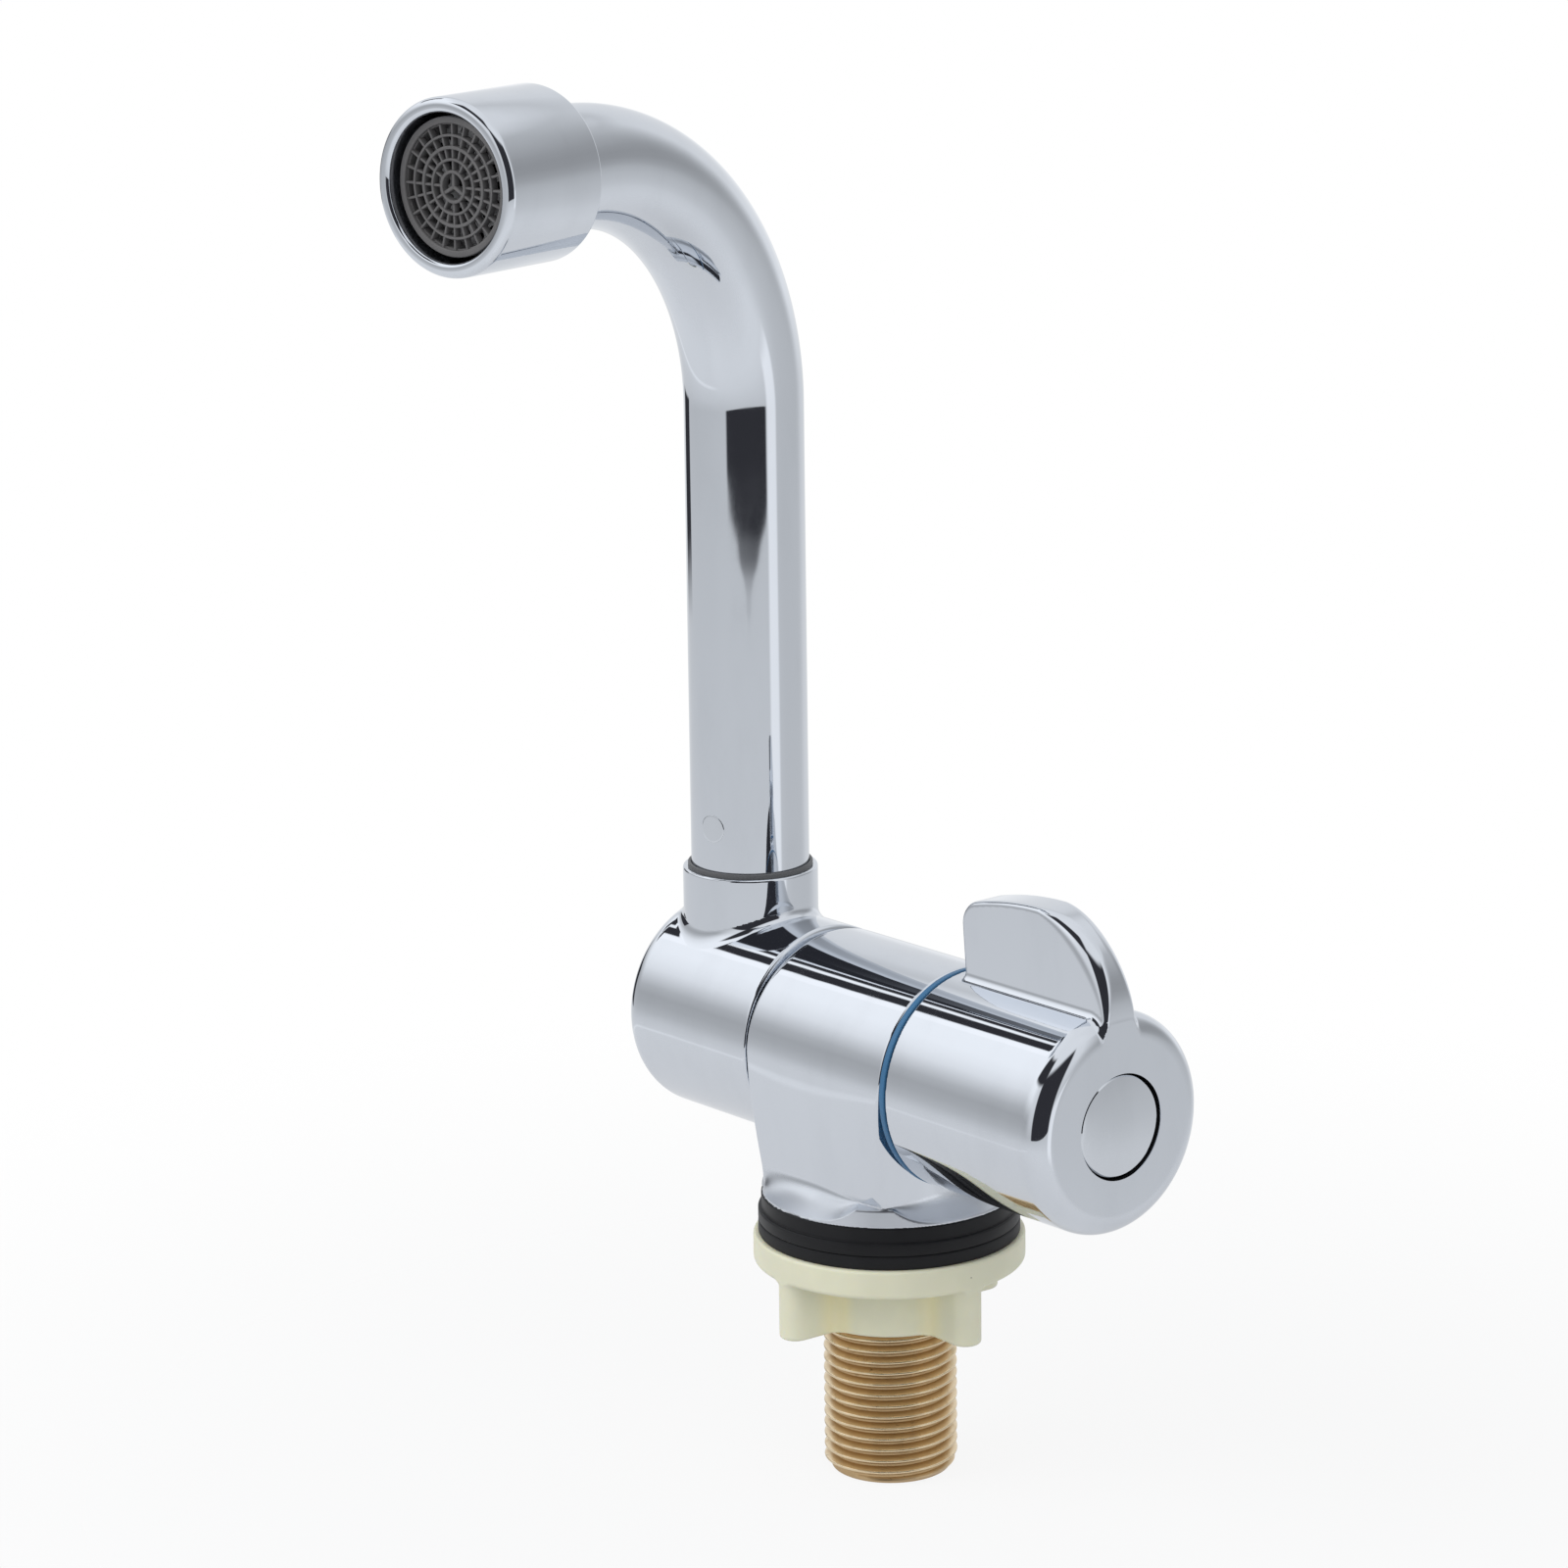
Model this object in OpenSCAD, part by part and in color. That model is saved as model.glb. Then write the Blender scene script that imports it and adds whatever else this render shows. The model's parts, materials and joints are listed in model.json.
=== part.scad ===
// Folding caravan tap with a quarter-turn valve.
// Millimetres. The origin is on the shank's axis at the worktop's top face, +Z is up,
// +X runs along the barrel to the knob and the spout's arm reaches out towards -Y.

/* [Shank and back nut] */
// Outside diameter of the half-inch pipe thread
thread_d = 20.955; // [16:0.005:24]
// Distance from one thread turn to the next
thread_pitch = 1.814; // [1:0.001:2.5]
// Depth of the thread
thread_depth = 1.1; // [0.6:0.05:1.3]
// Length of shank below the worktop's top face
shank_len = 39; // [30:0.5:60]
// Bore of the shank
inlet_d = 13; // [8:0.5:14]
// Diameter of the back nut's flange
nut_flange_d = 42.6; // [36:0.2:60]
// Thickness of the back nut's flange
nut_flange_t = 4.6; // [2:0.2:7]
// Wall of the back nut's sleeve
nut_wall = 2; // [1.5:0.1:4]
// Length of the back nut's sleeve below its flange
nut_sleeve_len = 9.2; // [6:0.2:14]
// Distance across two opposite wings
wing_span = 42.4; // [36:0.2:42.6]
// Thickness of a wing
wing_t = 5; // [3:0.2:8]
// Turn of the back nut on the thread, as it stands at rest
nut_turn = -3; // [-45:1:45]

/* [Base] */
// Diameter of the chrome body where it meets the base ring
base_d = 40; // [38:0.2:48]
// Height of the chrome rim at the base
rim_h = 1.4; // [0.8:0.1:3]
// Radius of the hollow between the rim and the pedestal walls
cove_r = 3; // [1.5:0.1:3]
// Height of the plastic base ring
ring_h = 4.4; // [3:0.1:8]
// How far the base ring's lower step stands out
ring_step = 0.5; // [0.2:0.1:1.5]
// Height of the base ring's lower step
ring_step_h = 2; // [1:0.1:2.5]
// Thickness of the rubber gasket
gasket_t = 2.2; // [1:0.1:4]

/* [Barrel] */
// Diameter of hub, body and knob
barrel_d = 34.4; // [33:0.2:40]
// Height of the barrel's axis above the worktop
axis_h = 28.8; // [27:0.2:40]
// Length of the body from the shank's axis to the hub's seam
body_left = 13.8; // [12:0.2:18]
// Length of the body from the shank's axis to the indicator ring
body_right = 17.4; // [17:0.2:24]
// Thickness of the indicator ring
indicator_t = 1; // [0.5:0.1:2]
// Open seam between body and hub
seam_gap = 0.4; // [0.2:0.1:1]

/* [Hub] */
// Length of the hub
hub_len = 30.5; // [29:0.5:40]
// Rounding of the hub's closed end
hub_round = 4; // [1:0.5:6]
// Distance from the body's left face to the spout's axis
spout_offset = 18.8; // [17:0.2:20]
// Diameter of the collar that holds the spout
collar_d = 21.4; // [21:0.2:26]
// Height of the collar's rim above the barrel's axis
collar_h = 23.9; // [22:0.2:36]
// Diameter of the hinge spigot that the hub turns on
spigot_d = 16; // [15:0.2:17]
// Bore of the hinge spigot
spigot_bore_d = 8.4; // [5:0.2:8.8]

/* [Spout] */
// Diameter of the spout tube
tube_d = 18.7; // [16:0.1:19]
// Wall of the spout tube
tube_wall = 1; // [0.7:0.1:1.5]
// Height of the arm's axis above the barrel's axis
arm_h = 139.4; // [90:0.2:220]
// Radius of the bend along the tube's axis
bend_r = 41.4; // [20:0.2:46]
// Distance from the upright tube's axis to the outlet face
arm_len = 67.7; // [66:0.1:120]
// Turn of the arm from square to the barrel, as it stands at rest
rest_swivel = 10.8; // [-30:0.2:30]
// Diameter of the flush pin in the tube's wall
pin_d = 4.5; // [2:0.1:6]
// Height of the flush pin above the collar's rim
pin_rise = 7.6; // [5:0.2:9]
// Height of the dark bush above the collar's rim
bush_rise = 1.2; // [0.4:0.1:3]

/* [Outlet] */
// Diameter of the aerator housing
aerator_d = 26.4; // [25:0.2:32]
// Length of the aerator housing
aerator_len = 20; // [18:0.2:22]
// Diameter of the opening in the housing's front
outlet_d = 21.9; // [20:0.1:22.6]
// Diameter of the grille in the outlet
grille_d = 20.5; // [18:0.1:21.4]
// Thickness of the grille
grille_t = 1.4; // [1:0.1:2]
// How far the grille lies behind the housing's front
grille_recess = 1; // [0.4:0.1:1.6]

/* [Knob] */
// Length of the knob
knob_len = 33.6; // [30:0.2:44]
// Rounding of the knob's end
knob_round = 3.6; // [1:0.2:6]
// Diameter of the flush button in the knob's end
button_d = 15.8; // [12:0.2:18]
// Dark gap around the button
button_gap = 0.3; // [0.1:0.1:0.6]
// Height of the lever above the barrel's axis
fin_h = 29.7; // [24:0.2:44]
// Thickness of the lever
fin_t = 6.4; // [4:0.2:9]
// Distance from the knob's left face to the lever
fin_start = 3; // [1:0.2:8]
// Distance from the lever to the knob's end face
fin_setback = 1; // [0.4:0.2:4]
// Rounding of the lever's corner by the body
fin_round_body = 3; // [1:0.2:6]
// Rounding of the lever's corner at the knob's end
fin_round_end = 14; // [3:0.2:16]

/* [Cartridge] */
// Diameter of the cartridge
cartridge_d = 18; // [16:0.2:19]
// Length of the cartridge's housing
cartridge_len = 15.3; // [14:0.1:16]
// Diameter of the valve spindle
spindle_d = 8; // [6:0.2:9]
// Thickness of each ceramic disc
disc_t = 2.4; // [1.5:0.1:2.8]

/* [Fits] */
// Radial clearance of what turns or slides
running = 0.05; // [0.02:0.01:0.09]
// Radial clearance of what is pushed in and stays
slip = 0.02; // [0.01:0.01:0.05]
// Clearance between faces that turn past each other
face_gap = 0.1; // [0.05:0.05:0.3]
// Gap between the indicator ring and the knob
knob_gap = 0.25; // [0.15:0.05:0.6]

/* [Hidden] */
$fn = 96;
// Overshoot of a cut past the face it opens
cut = 0.5;
// Height of a slice that a blend starts from
slice = 0.02;
// Room around a screw, a washer or a cap that is only held endways
loose = 0.3;
// Room at each side of a ring in its groove
ring_side = 0.1;

barrel_r = barrel_d / 2;
base_r = base_d / 2;
tube_r = tube_d / 2;
thread_r = thread_d / 2;
base_z = gasket_t + ring_h;

// How far the pedestal's walls lie inside the barrel's sides where they start
pedestal_inset = 0.05;

// Shank: turns that the parked nut covers run out shallower, above them a plain neck passes the
// gasket and the ring, and a tail with an O-ring seats in the body
runout = 0.3;
neck_clear_r = thread_r - runout;
tail_step = 1.4;
tail_r = thread_r - tail_step;
tail_len = 8;
tail_seal_d = 1.6;
supply_d = 8;

// Hinge spigot: distances u run from the body's left face towards the hub's end
spigot_r = spigot_d / 2;
spigot_step = 1;
spigot_tail_r = spigot_r - spigot_step;
spigot_tail_len = 6.4;
port_half = 3.4;
spigot_land = 3.2;
spigot_len = spout_offset + port_half + spigot_land;
spigot_port_d = 4.6;
spigot_bore_past = 0.3;
spigot_groove_depth = 1.8;
seal_d = 1.5;
seal_groove_w = 1.7;
near_seal_u = 8;
far_seal_u = spigot_len - spigot_land / 2;

// Hub: the hinge bore, the end wall, and the pocket for the retaining screw
hub_end_u = seam_gap + hub_len;
hinge_bore_len = spigot_len + loose;
cap_t = 1.2;
cap_r = 6;
screw_r = 2;
screw_head_r = 3.6;
screw_head_t = 1.5;
screw_len = 5.2;
retainer_r = 4.2;
retainer_t = 0.5;
pocket_r = retainer_r + loose;
pocket_floor_u = hub_end_u - cap_t - loose - screw_head_t - retainer_t - face_gap;
cap_round = 0.3;
slot_w = 0.8;
slot_share = 1.2;
friction_washer_t = 1.2;
friction_washer_r = 12.6;

// Spout socket in the hub's collar
spout_x = -(body_left + spout_offset);
collar_z = axis_h + collar_h;
collar_r = collar_d / 2;
bush_wall = 0.5;
bush_r = tube_r + running + bush_wall;
socket_r = bush_r + slip;
riser_len = 1.4;
socket_floor_z = axis_h + spigot_r + running + riser_len;
neck_r = 7.5;
neck_len = 5.6;
step_z = socket_floor_z + neck_len;
riser_d = 6.4;

// Spout insert, its snap ring and its O-ring
insert_neck_r = neck_r - running;
foot_gap = 0.15;
insert_foot_z = socket_floor_z + foot_gap;
insert_shoulder_t = 0.6;
tube_foot_z = step_z + face_gap + insert_shoulder_t;
tube_bore_r = tube_r - tube_wall;
insert_r = tube_bore_r - slip;
pin_z = collar_z + pin_rise;
insert_past_pin = 2;
insert_top_z = pin_z + pin_d + insert_past_pin;
insert_bore_d = 10;
pin_depth = 1.6;
clip_t = 0.8;
clip_rise = 1;
clip_z = socket_floor_z + clip_rise;
clip_depth = 0.8;
clip_split = 40;
neck_seal_d = 1.4;
neck_seal_drop = 1.8;
neck_seal_z = step_z - neck_seal_drop;
bush_foot_gap = 0.5;
bush_foot_z = tube_foot_z + bush_foot_gap;

// Arm and outlet: distances along the arm run from the upright tube's axis
arm_z = axis_h + arm_h;
arm_back = arm_len - aerator_len;
tube_entry = 5.5;
entry_wall = 1.5;
aerator_r = aerator_d / 2;
outlet_r = outlet_d / 2;
grille_r = grille_d / 2;
aerator_round = 1.2;
washer_t = 1.8;
cage_wall = 1.2;
screen_t = 0.5;
screen_rings = 3;
screen_hole_r = 0.7;
screen_rim = 0.8;
screen_pitch = (grille_r - cage_wall - screen_hole_r - screen_rim) / screen_rings;
cavity_start = tube_entry + entry_wall;
cage_start = cavity_start + washer_t;
grille_start = aerator_len - grille_recess - grille_t;
cage_len = grille_start - cage_start;
grille_rings = 5;
grille_hub_r = 2.2;
grille_bar = 0.5;
grille_rim = 1;
spokes_outer = 24;
spokes_inner = 12;
spokes_middle = 3;
spoke_change = 2;

// Cartridge along the barrel's axis, from its seat in the body to the gland nut
cartridge_r = cartridge_d / 2;
seat_wall = 2;
seat_x = spigot_tail_len + seat_wall - body_left;
seat_seal_t = 2;
seat_seal_inset = 0.5;
housing_x = seat_x + seat_seal_t;
disc_gap = 0.05;
driver_t = 2.2;
chamber_wall = 1.5;
disc_r = cartridge_r - chamber_wall - running;
stack_len = 2 * disc_t + driver_t + 2 * disc_gap + face_gap;
moving_x = housing_x + disc_t + disc_gap;
driver_x = moving_x + disc_t + disc_gap;
spindle_r = spindle_d / 2;
window_d = 4.2;
window_pitch = 4.1;
port_d = 2;
annulus_depth = 1.6;
annulus_r = cartridge_r + annulus_depth;
gland_x = housing_x + cartridge_len;
gland_r = 12.4;
gland_sink = 0.2;
gland_len = body_right - gland_x - gland_sink;
gland_slot_w = 3;
gland_slot_depth = 1.2;
spindle_seal_d = 1.1;
spindle_seal_back = 3;
spindle_seal_x = gland_x - spindle_seal_back;

// Knob along the barrel's axis
knob_x = body_right + indicator_t + knob_gap;
knob_end_x = knob_x + knob_len;
knob_cavity_r = 13.6;
knob_cavity_len = 9;
button_r = button_d / 2;
button_t = 3.4;
button_round = 0.3;
screw_pocket_r = screw_head_r + loose;
screw_pocket_spare = 1;
screw_pocket_len = screw_head_t + screw_pocket_spare;
hub_wall_t = 2.5;
spindle_end_x = knob_end_x - button_t - screw_pocket_len - hub_wall_t;
spindle_thread_len = 8;
handle_screw_len = hub_wall_t + spindle_thread_len;
fin_len = knob_len - fin_start - fin_setback;

// Back nut
thread_fit = 0.07;
nut_bore_r = thread_r + thread_fit;
nut_sleeve_r = nut_bore_r + nut_wall;
wing_count = 4;

// Places children on the barrel's axis at x, with their own Z along +X.
module on_barrel(x) {
    translate([x, 0, axis_h]) rotate([0, 90, 0]) children();
}

// Places children on the barrel's axis at the body's left face, with their own Z towards the hub's end.
module on_hinge(u) {
    translate([-body_left - u, 0, axis_h]) rotate([0, -90, 0]) children();
}

// Places children on the upright tube's axis at height z, turned with the arm.
module on_spout(z) {
    translate([spout_x, 0, z]) rotate([0, 0, rest_swivel]) children();
}

// Places children on the arm's axis at a distance from the upright tube, with their own Z along the arm.
module on_arm(distance) {
    on_spout(arm_z) translate([0, -distance, 0]) rotate([90, 0, 0]) children();
}

// A plain tube.
module pipe(outer, inner, h) {
    difference() {
        cylinder(r = outer, h = h);
        translate([0, 0, -cut]) cylinder(r = inner, h = h + 2 * cut);
    }
}

// A round bar along Z whose far edge is rounded.
module round_bar(r, h, edge) {
    rotate_extrude() {
        square([r - edge, h]);
        square([r, h - edge]);
        translate([r - edge, h - edge]) intersection() {
            circle(r = edge);
            square(edge);
        }
    }
}

// An O-ring that fills a groove from its floor out to a given radius.
module o_ring(outer, d) {
    rotate_extrude() translate([outer - d / 2, 0]) circle(d = d, $fn = 32);
}

// A groove cut into a bar of radius r, from z upwards.
module groove(r, depth, z, w) {
    translate([0, 0, z]) pipe(r + cut, r - depth, w);
}

// Pedestal: a blend from the barrel's rectangle down to the round base, with a hollow above its rim.
// Its walls leave the barrel a little below the axis.
module pedestal() {
    wall_y = barrel_r - pedestal_inset;
    hull() {
        translate([-body_left, -wall_y, axis_h - slice]) cube([body_left + body_right, 2 * wall_y, slice]);
        translate([0, 0, base_z]) linear_extrude(slice) intersection() {
            circle(r = base_r, $fn = 64);
            translate([-body_left, -barrel_r]) square([body_left + body_right, barrel_d]);
        }
    }
    translate([0, 0, base_z]) rotate_extrude() difference() {
        square([base_r, rim_h + cove_r]);
        translate([base_r, rim_h + cove_r]) circle(r = cove_r);
    }
}

// All that is bored out of the body.
module body_bores() {
    on_barrel(seat_x) cylinder(r = cartridge_r + running, h = body_right - seat_x + cut);
    on_barrel(driver_x) cylinder(r = annulus_r, h = driver_t);
    on_barrel(gland_x) cylinder(r = gland_r + slip, h = body_right - gland_x + cut);
    on_barrel(-body_left - cut) cylinder(r = spigot_tail_r + slip, h = spigot_tail_len + cut);
    on_barrel(seat_x - seat_wall - cut) cylinder(d = spigot_bore_d, h = seat_wall + 2 * cut);
    translate([0, 0, base_z - cut]) cylinder(r = tail_r + slip, h = tail_len + cut);
    translate([driver_x + driver_t / 2, 0, base_z + tail_len - cut])
        cylinder(d = supply_d, h = axis_h - cartridge_r - base_z - tail_len + cut);
}

module valve_body() {
    color("silver") difference() {
        union() {
            on_barrel(-body_left) cylinder(r = barrel_r, h = body_left + body_right);
            pedestal();
        }
        body_bores();
        on_hinge(0) cylinder(r = barrel_r + 2 * seam_gap, h = base_r);
    }
}

module base_ring() {
    color([0.13, 0.13, 0.14]) translate([0, 0, gasket_t]) difference() {
        union() {
            cylinder(r = base_r, h = ring_h);
            cylinder(r = base_r + ring_step, h = ring_step_h);
        }
        translate([0, 0, -cut]) cylinder(r = neck_clear_r + slip, h = ring_h + 2 * cut);
    }
}

module base_gasket() {
    color([0.1, 0.1, 0.11]) pipe(base_r + ring_step, neck_clear_r + slip, gasket_t);
}

// Radius of a thread crest whose top lies at height z.
function crest_r(z) = z < -nut_flange_t - nut_sleeve_len ? thread_r : thread_r - runout;

// Half outline of the threaded stretch: one flat crest and one flat root to each turn.
module thread_outline() {
    root_r = thread_r - thread_depth;
    turns = floor(shank_len / thread_pitch) - 1;
    quarter = thread_pitch / 4;
    feet = [for (i = [0 : turns - 1]) -shank_len + quarter + i * thread_pitch];
    crests = [for (z = feet) for (step = [0 : 3])
        [step == 1 || step == 2 ? crest_r(z + 2 * quarter) : root_r, z + step * quarter]];
    polygon(concat([[inlet_d / 2, -shank_len], [root_r, -shank_len]], crests,
        [[root_r, base_z], [inlet_d / 2, base_z]]));
}

module threaded_shank() {
    color([0.72, 0.55, 0.3]) difference() {
        union() {
            rotate_extrude() thread_outline();
            translate([0, 0, -slice]) pipe(neck_clear_r, inlet_d / 2, base_z + slice);
            translate([0, 0, base_z - slice]) pipe(tail_r, inlet_d / 2, tail_len + slice);
        }
        groove(tail_r, tail_seal_d, base_z + tail_len / 2, tail_seal_d + 2 * ring_side);
    }
}

module shank_seal() {
    color([0.1, 0.1, 0.1]) translate([0, 0, base_z + tail_len / 2 + tail_seal_d / 2 + ring_side])
        o_ring(tail_r, tail_seal_d);
}

module hinge_spigot() {
    color([0.75, 0.6, 0.32]) on_hinge(0) difference() {
        union() {
            translate([0, 0, -spigot_tail_len]) cylinder(r = spigot_tail_r, h = spigot_tail_len + slice);
            cylinder(r = spigot_r, h = spigot_len);
        }
        translate([0, 0, -spigot_tail_len - cut]) cylinder(d = spigot_bore_d,
            h = spigot_tail_len + spout_offset + spigot_port_d / 2 + spigot_bore_past + cut);
        groove(spigot_r, spigot_groove_depth, spout_offset - port_half, 2 * port_half);
        for (turn = [0, 90])
            translate([0, 0, spout_offset]) rotate([90, 0, turn])
                cylinder(d = spigot_port_d, h = spigot_d, center = true);
        for (u = [near_seal_u, far_seal_u])
            groove(spigot_r, seal_d, u - seal_groove_w / 2, seal_groove_w);
        translate([0, 0, pocket_floor_u - screw_len]) cylinder(r = screw_r + slip, h = screw_len);
    }
}

module hub_seals() {
    color([0.1, 0.1, 0.1]) for (u = [near_seal_u, far_seal_u]) on_hinge(u) o_ring(spigot_r, seal_d);
}

// A pan head screw along Z: the head's underside is at zero and the shank runs down.
module pan_screw(shank_r, shank_len, head_r, head_t) {
    difference() {
        union() {
            cylinder(r = head_r, h = head_t);
            translate([0, 0, -shank_len]) cylinder(r = shank_r, h = shank_len + slice);
        }
        for (turn = [0, 90])
            translate([0, 0, head_t]) rotate(turn) cube([head_r * slot_share, slot_w, head_t], center = true);
    }
}

module retaining_screw() {
    color([0.7, 0.7, 0.72]) on_hinge(pocket_floor_u + face_gap + retainer_t)
        pan_screw(screw_r, screw_len - loose, screw_head_r, screw_head_t);
}

module retaining_washer() {
    color([0.75, 0.75, 0.76]) on_hinge(pocket_floor_u + face_gap)
        pipe(retainer_r, screw_r + slip, retainer_t);
}

module indicator_ring() {
    color([0.16, 0.38, 0.55]) on_barrel(body_right) pipe(barrel_r, knob_cavity_r, indicator_t);
}

module cartridge_housing() {
    color([0.75, 0.6, 0.32]) on_barrel(housing_x) difference() {
        cylinder(r = cartridge_r, h = cartridge_len);
        translate([0, 0, -cut]) cylinder(r = disc_r + running, h = stack_len + cut);
        cylinder(r = spindle_r + running, h = cartridge_len + cut);
        for (turn = [45, 135])
            translate([0, 0, driver_x - housing_x + driver_t / 2]) rotate([90, 0, turn])
                cylinder(d = port_d, h = 2 * cartridge_d, center = true);
    }
}

module cartridge_seal() {
    color([0.1, 0.1, 0.1]) on_barrel(seat_x)
        pipe(cartridge_r - seat_seal_inset, spigot_bore_d / 2, seat_seal_t);
}

// A ceramic disc with two windows.
module ceramic_disc(r) {
    difference() {
        cylinder(r = r, h = disc_t);
        for (side = [-1, 1])
            translate([side * window_pitch, 0, -cut]) cylinder(d = window_d, h = disc_t + 2 * cut);
    }
}

module fixed_disc() {
    color("white") on_barrel(housing_x) ceramic_disc(disc_r);
}

module gland_nut() {
    color([0.75, 0.6, 0.32]) on_barrel(gland_x) difference() {
        pipe(gland_r, spindle_r + 4 * running, gland_len);
        translate([0, 0, gland_len])
            cube([2 * gland_r + cut, gland_slot_w, 2 * gland_slot_depth], center = true);
    }
}

// Side view of the lever, from the barrel's axis up.
module fin_outline() {
    square([fin_len, fin_h - fin_round_end]);
    square([fin_len - fin_round_end, fin_h - fin_round_body]);
    translate([fin_round_body, 0]) square([fin_len - fin_round_body - fin_round_end, fin_h]);
    translate([fin_round_body, fin_h - fin_round_body]) circle(r = fin_round_body);
    translate([fin_len - fin_round_end, fin_h - fin_round_end]) circle(r = fin_round_end);
}

module handle_knob() {
    color("silver") difference() {
        union() {
            on_barrel(knob_x) round_bar(barrel_r, knob_len, knob_round);
            translate([knob_x + fin_start, 0, axis_h]) rotate([90, 0, 0])
                linear_extrude(fin_t, center = true) fin_outline();
        }
        on_barrel(knob_x - cut) cylinder(r = knob_cavity_r, h = knob_cavity_len + cut);
        on_barrel(knob_x) cylinder(r = spindle_r + slip, h = spindle_end_x - knob_x);
        on_barrel(spindle_end_x - cut) cylinder(r = screw_r + running, h = hub_wall_t + 2 * cut);
        on_barrel(spindle_end_x + hub_wall_t) cylinder(r = screw_pocket_r, h = screw_pocket_len + cut);
        on_barrel(knob_end_x - button_t) cylinder(r = button_r + button_gap, h = button_t + cut);
    }
}

module index_cap() {
    color("silver") on_barrel(knob_end_x - button_t) round_bar(button_r, button_t, button_round);
}

module handle_screw() {
    color([0.7, 0.7, 0.72]) on_barrel(spindle_end_x + hub_wall_t)
        pan_screw(screw_r, handle_screw_len, screw_head_r, screw_head_t);
}

module cartridge_spindle() {
    color([0.75, 0.6, 0.32]) difference() {
        union() {
            on_barrel(driver_x) cylinder(r = disc_r, h = driver_t);
            on_barrel(driver_x) cylinder(r = spindle_r, h = spindle_end_x - driver_x);
        }
        on_barrel(spindle_end_x + hub_wall_t - handle_screw_len - cut)
            cylinder(r = screw_r + slip, h = handle_screw_len + cut);
        on_barrel(spindle_seal_x - spindle_seal_d / 2 - ring_side)
            groove(spindle_r, spindle_seal_d, 0, spindle_seal_d + 2 * ring_side);
    }
}

module moving_disc() {
    color([0.92, 0.92, 0.9]) on_barrel(moving_x) rotate(90) ceramic_disc(disc_r);
}

module spindle_seal() {
    color([0.1, 0.1, 0.1]) on_barrel(spindle_seal_x) o_ring(spindle_r, spindle_seal_d);
}

// All that is bored out of the hub.
module hub_bores() {
    on_hinge(0) cylinder(r = spigot_r + running, h = hinge_bore_len);
    on_hinge(0) cylinder(r = friction_washer_r + running, h = friction_washer_t + face_gap);
    on_hinge(0) cylinder(r = screw_r + loose, h = hub_end_u);
    on_hinge(pocket_floor_u) cylinder(r = pocket_r, h = hub_end_u - pocket_floor_u);
    on_hinge(hub_end_u - cap_t) cylinder(r = cap_r + slip, h = cap_t + cut);
    translate([spout_x, 0, axis_h]) cylinder(d = riser_d, h = socket_floor_z - axis_h + cut);
    translate([spout_x, 0, socket_floor_z]) cylinder(r = neck_r, h = neck_len + cut);
    translate([spout_x, 0, step_z]) cylinder(r = socket_r, h = collar_z - step_z + cut);
    translate([spout_x, 0, clip_z - ring_side])
        cylinder(r = neck_r + clip_depth / 2 + face_gap, h = clip_t + 2 * ring_side);
}

module spout_hub() {
    color("silver") difference() {
        union() {
            on_hinge(seam_gap) round_bar(barrel_r, hub_len, hub_round);
            translate([spout_x, 0, axis_h]) cylinder(r = collar_r, h = collar_h);
        }
        hub_bores();
    }
}

module friction_washer() {
    color([0.9, 0.9, 0.88]) on_hinge(running)
        pipe(friction_washer_r, spigot_r + 2 * running, friction_washer_t);
}

module hub_end_cap() {
    color("silver") on_hinge(hub_end_u - cap_t) round_bar(cap_r, cap_t, cap_round);
}

module collar_bush() {
    color([0.25, 0.26, 0.28]) translate([spout_x, 0, bush_foot_z])
        pipe(bush_r, tube_r + running, collar_z + bush_rise - bush_foot_z);
}

// Place of the flush pin: its own Z runs out through the tube's wall.
module at_pin() {
    on_spout(pin_z) rotate([90, 0, 0]) children();
}

// The spout's path as a solid of one radius, run on past both ends.
module spout_rod(r, past) {
    translate([0, 0, tube_foot_z - past]) cylinder(r = r, h = arm_z - bend_r - tube_foot_z + past);
    translate([0, -bend_r, arm_z - bend_r]) rotate([90, 0, 90])
        rotate_extrude(angle = 90) translate([bend_r, 0]) circle(r = r);
    translate([0, -bend_r, arm_z]) rotate([90, 0, 0])
        cylinder(r = r, h = arm_back + tube_entry - bend_r + past);
}

module spout_tube() {
    color("silver") on_spout(0) difference() {
        spout_rod(tube_r, 0);
        spout_rod(tube_bore_r, cut);
        translate([0, 0, pin_z]) rotate([90, 0, 0]) cylinder(d = pin_d + 2 * slip, h = tube_d);
    }
}

module spout_insert() {
    color([0.75, 0.6, 0.32]) difference() {
        union() {
            on_spout(insert_foot_z) cylinder(r = insert_neck_r, h = step_z - insert_foot_z + 2 * face_gap);
            on_spout(step_z + face_gap) cylinder(r = tube_r, h = insert_shoulder_t);
            on_spout(tube_foot_z - slice) cylinder(r = insert_r, h = insert_top_z - tube_foot_z);
        }
        on_spout(insert_foot_z - cut) cylinder(d = insert_bore_d, h = insert_top_z);
        on_spout(clip_z - ring_side) groove(insert_neck_r, clip_depth, 0, clip_t + 2 * ring_side);
        on_spout(neck_seal_z - neck_seal_d / 2 - ring_side)
            groove(insert_neck_r, neck_seal_d, 0, neck_seal_d + 2 * ring_side);
        at_pin() translate([0, 0, insert_r - pin_depth]) cylinder(d = pin_d + 2 * slip, h = tube_d);
    }
}

module spout_pin() {
    color("silver") intersection() {
        at_pin() translate([0, 0, insert_r - pin_depth]) cylinder(d = pin_d, h = tube_d);
        on_spout(pin_z - pin_d) cylinder(r = tube_r, h = 2 * pin_d);
    }
}

module spout_clip() {
    color([0.6, 0.6, 0.62]) on_spout(clip_z) rotate_extrude(angle = 360 - clip_split)
        translate([insert_neck_r - clip_depth + slip, 0]) square([clip_depth + clip_depth / 2, clip_t]);
}

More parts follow.
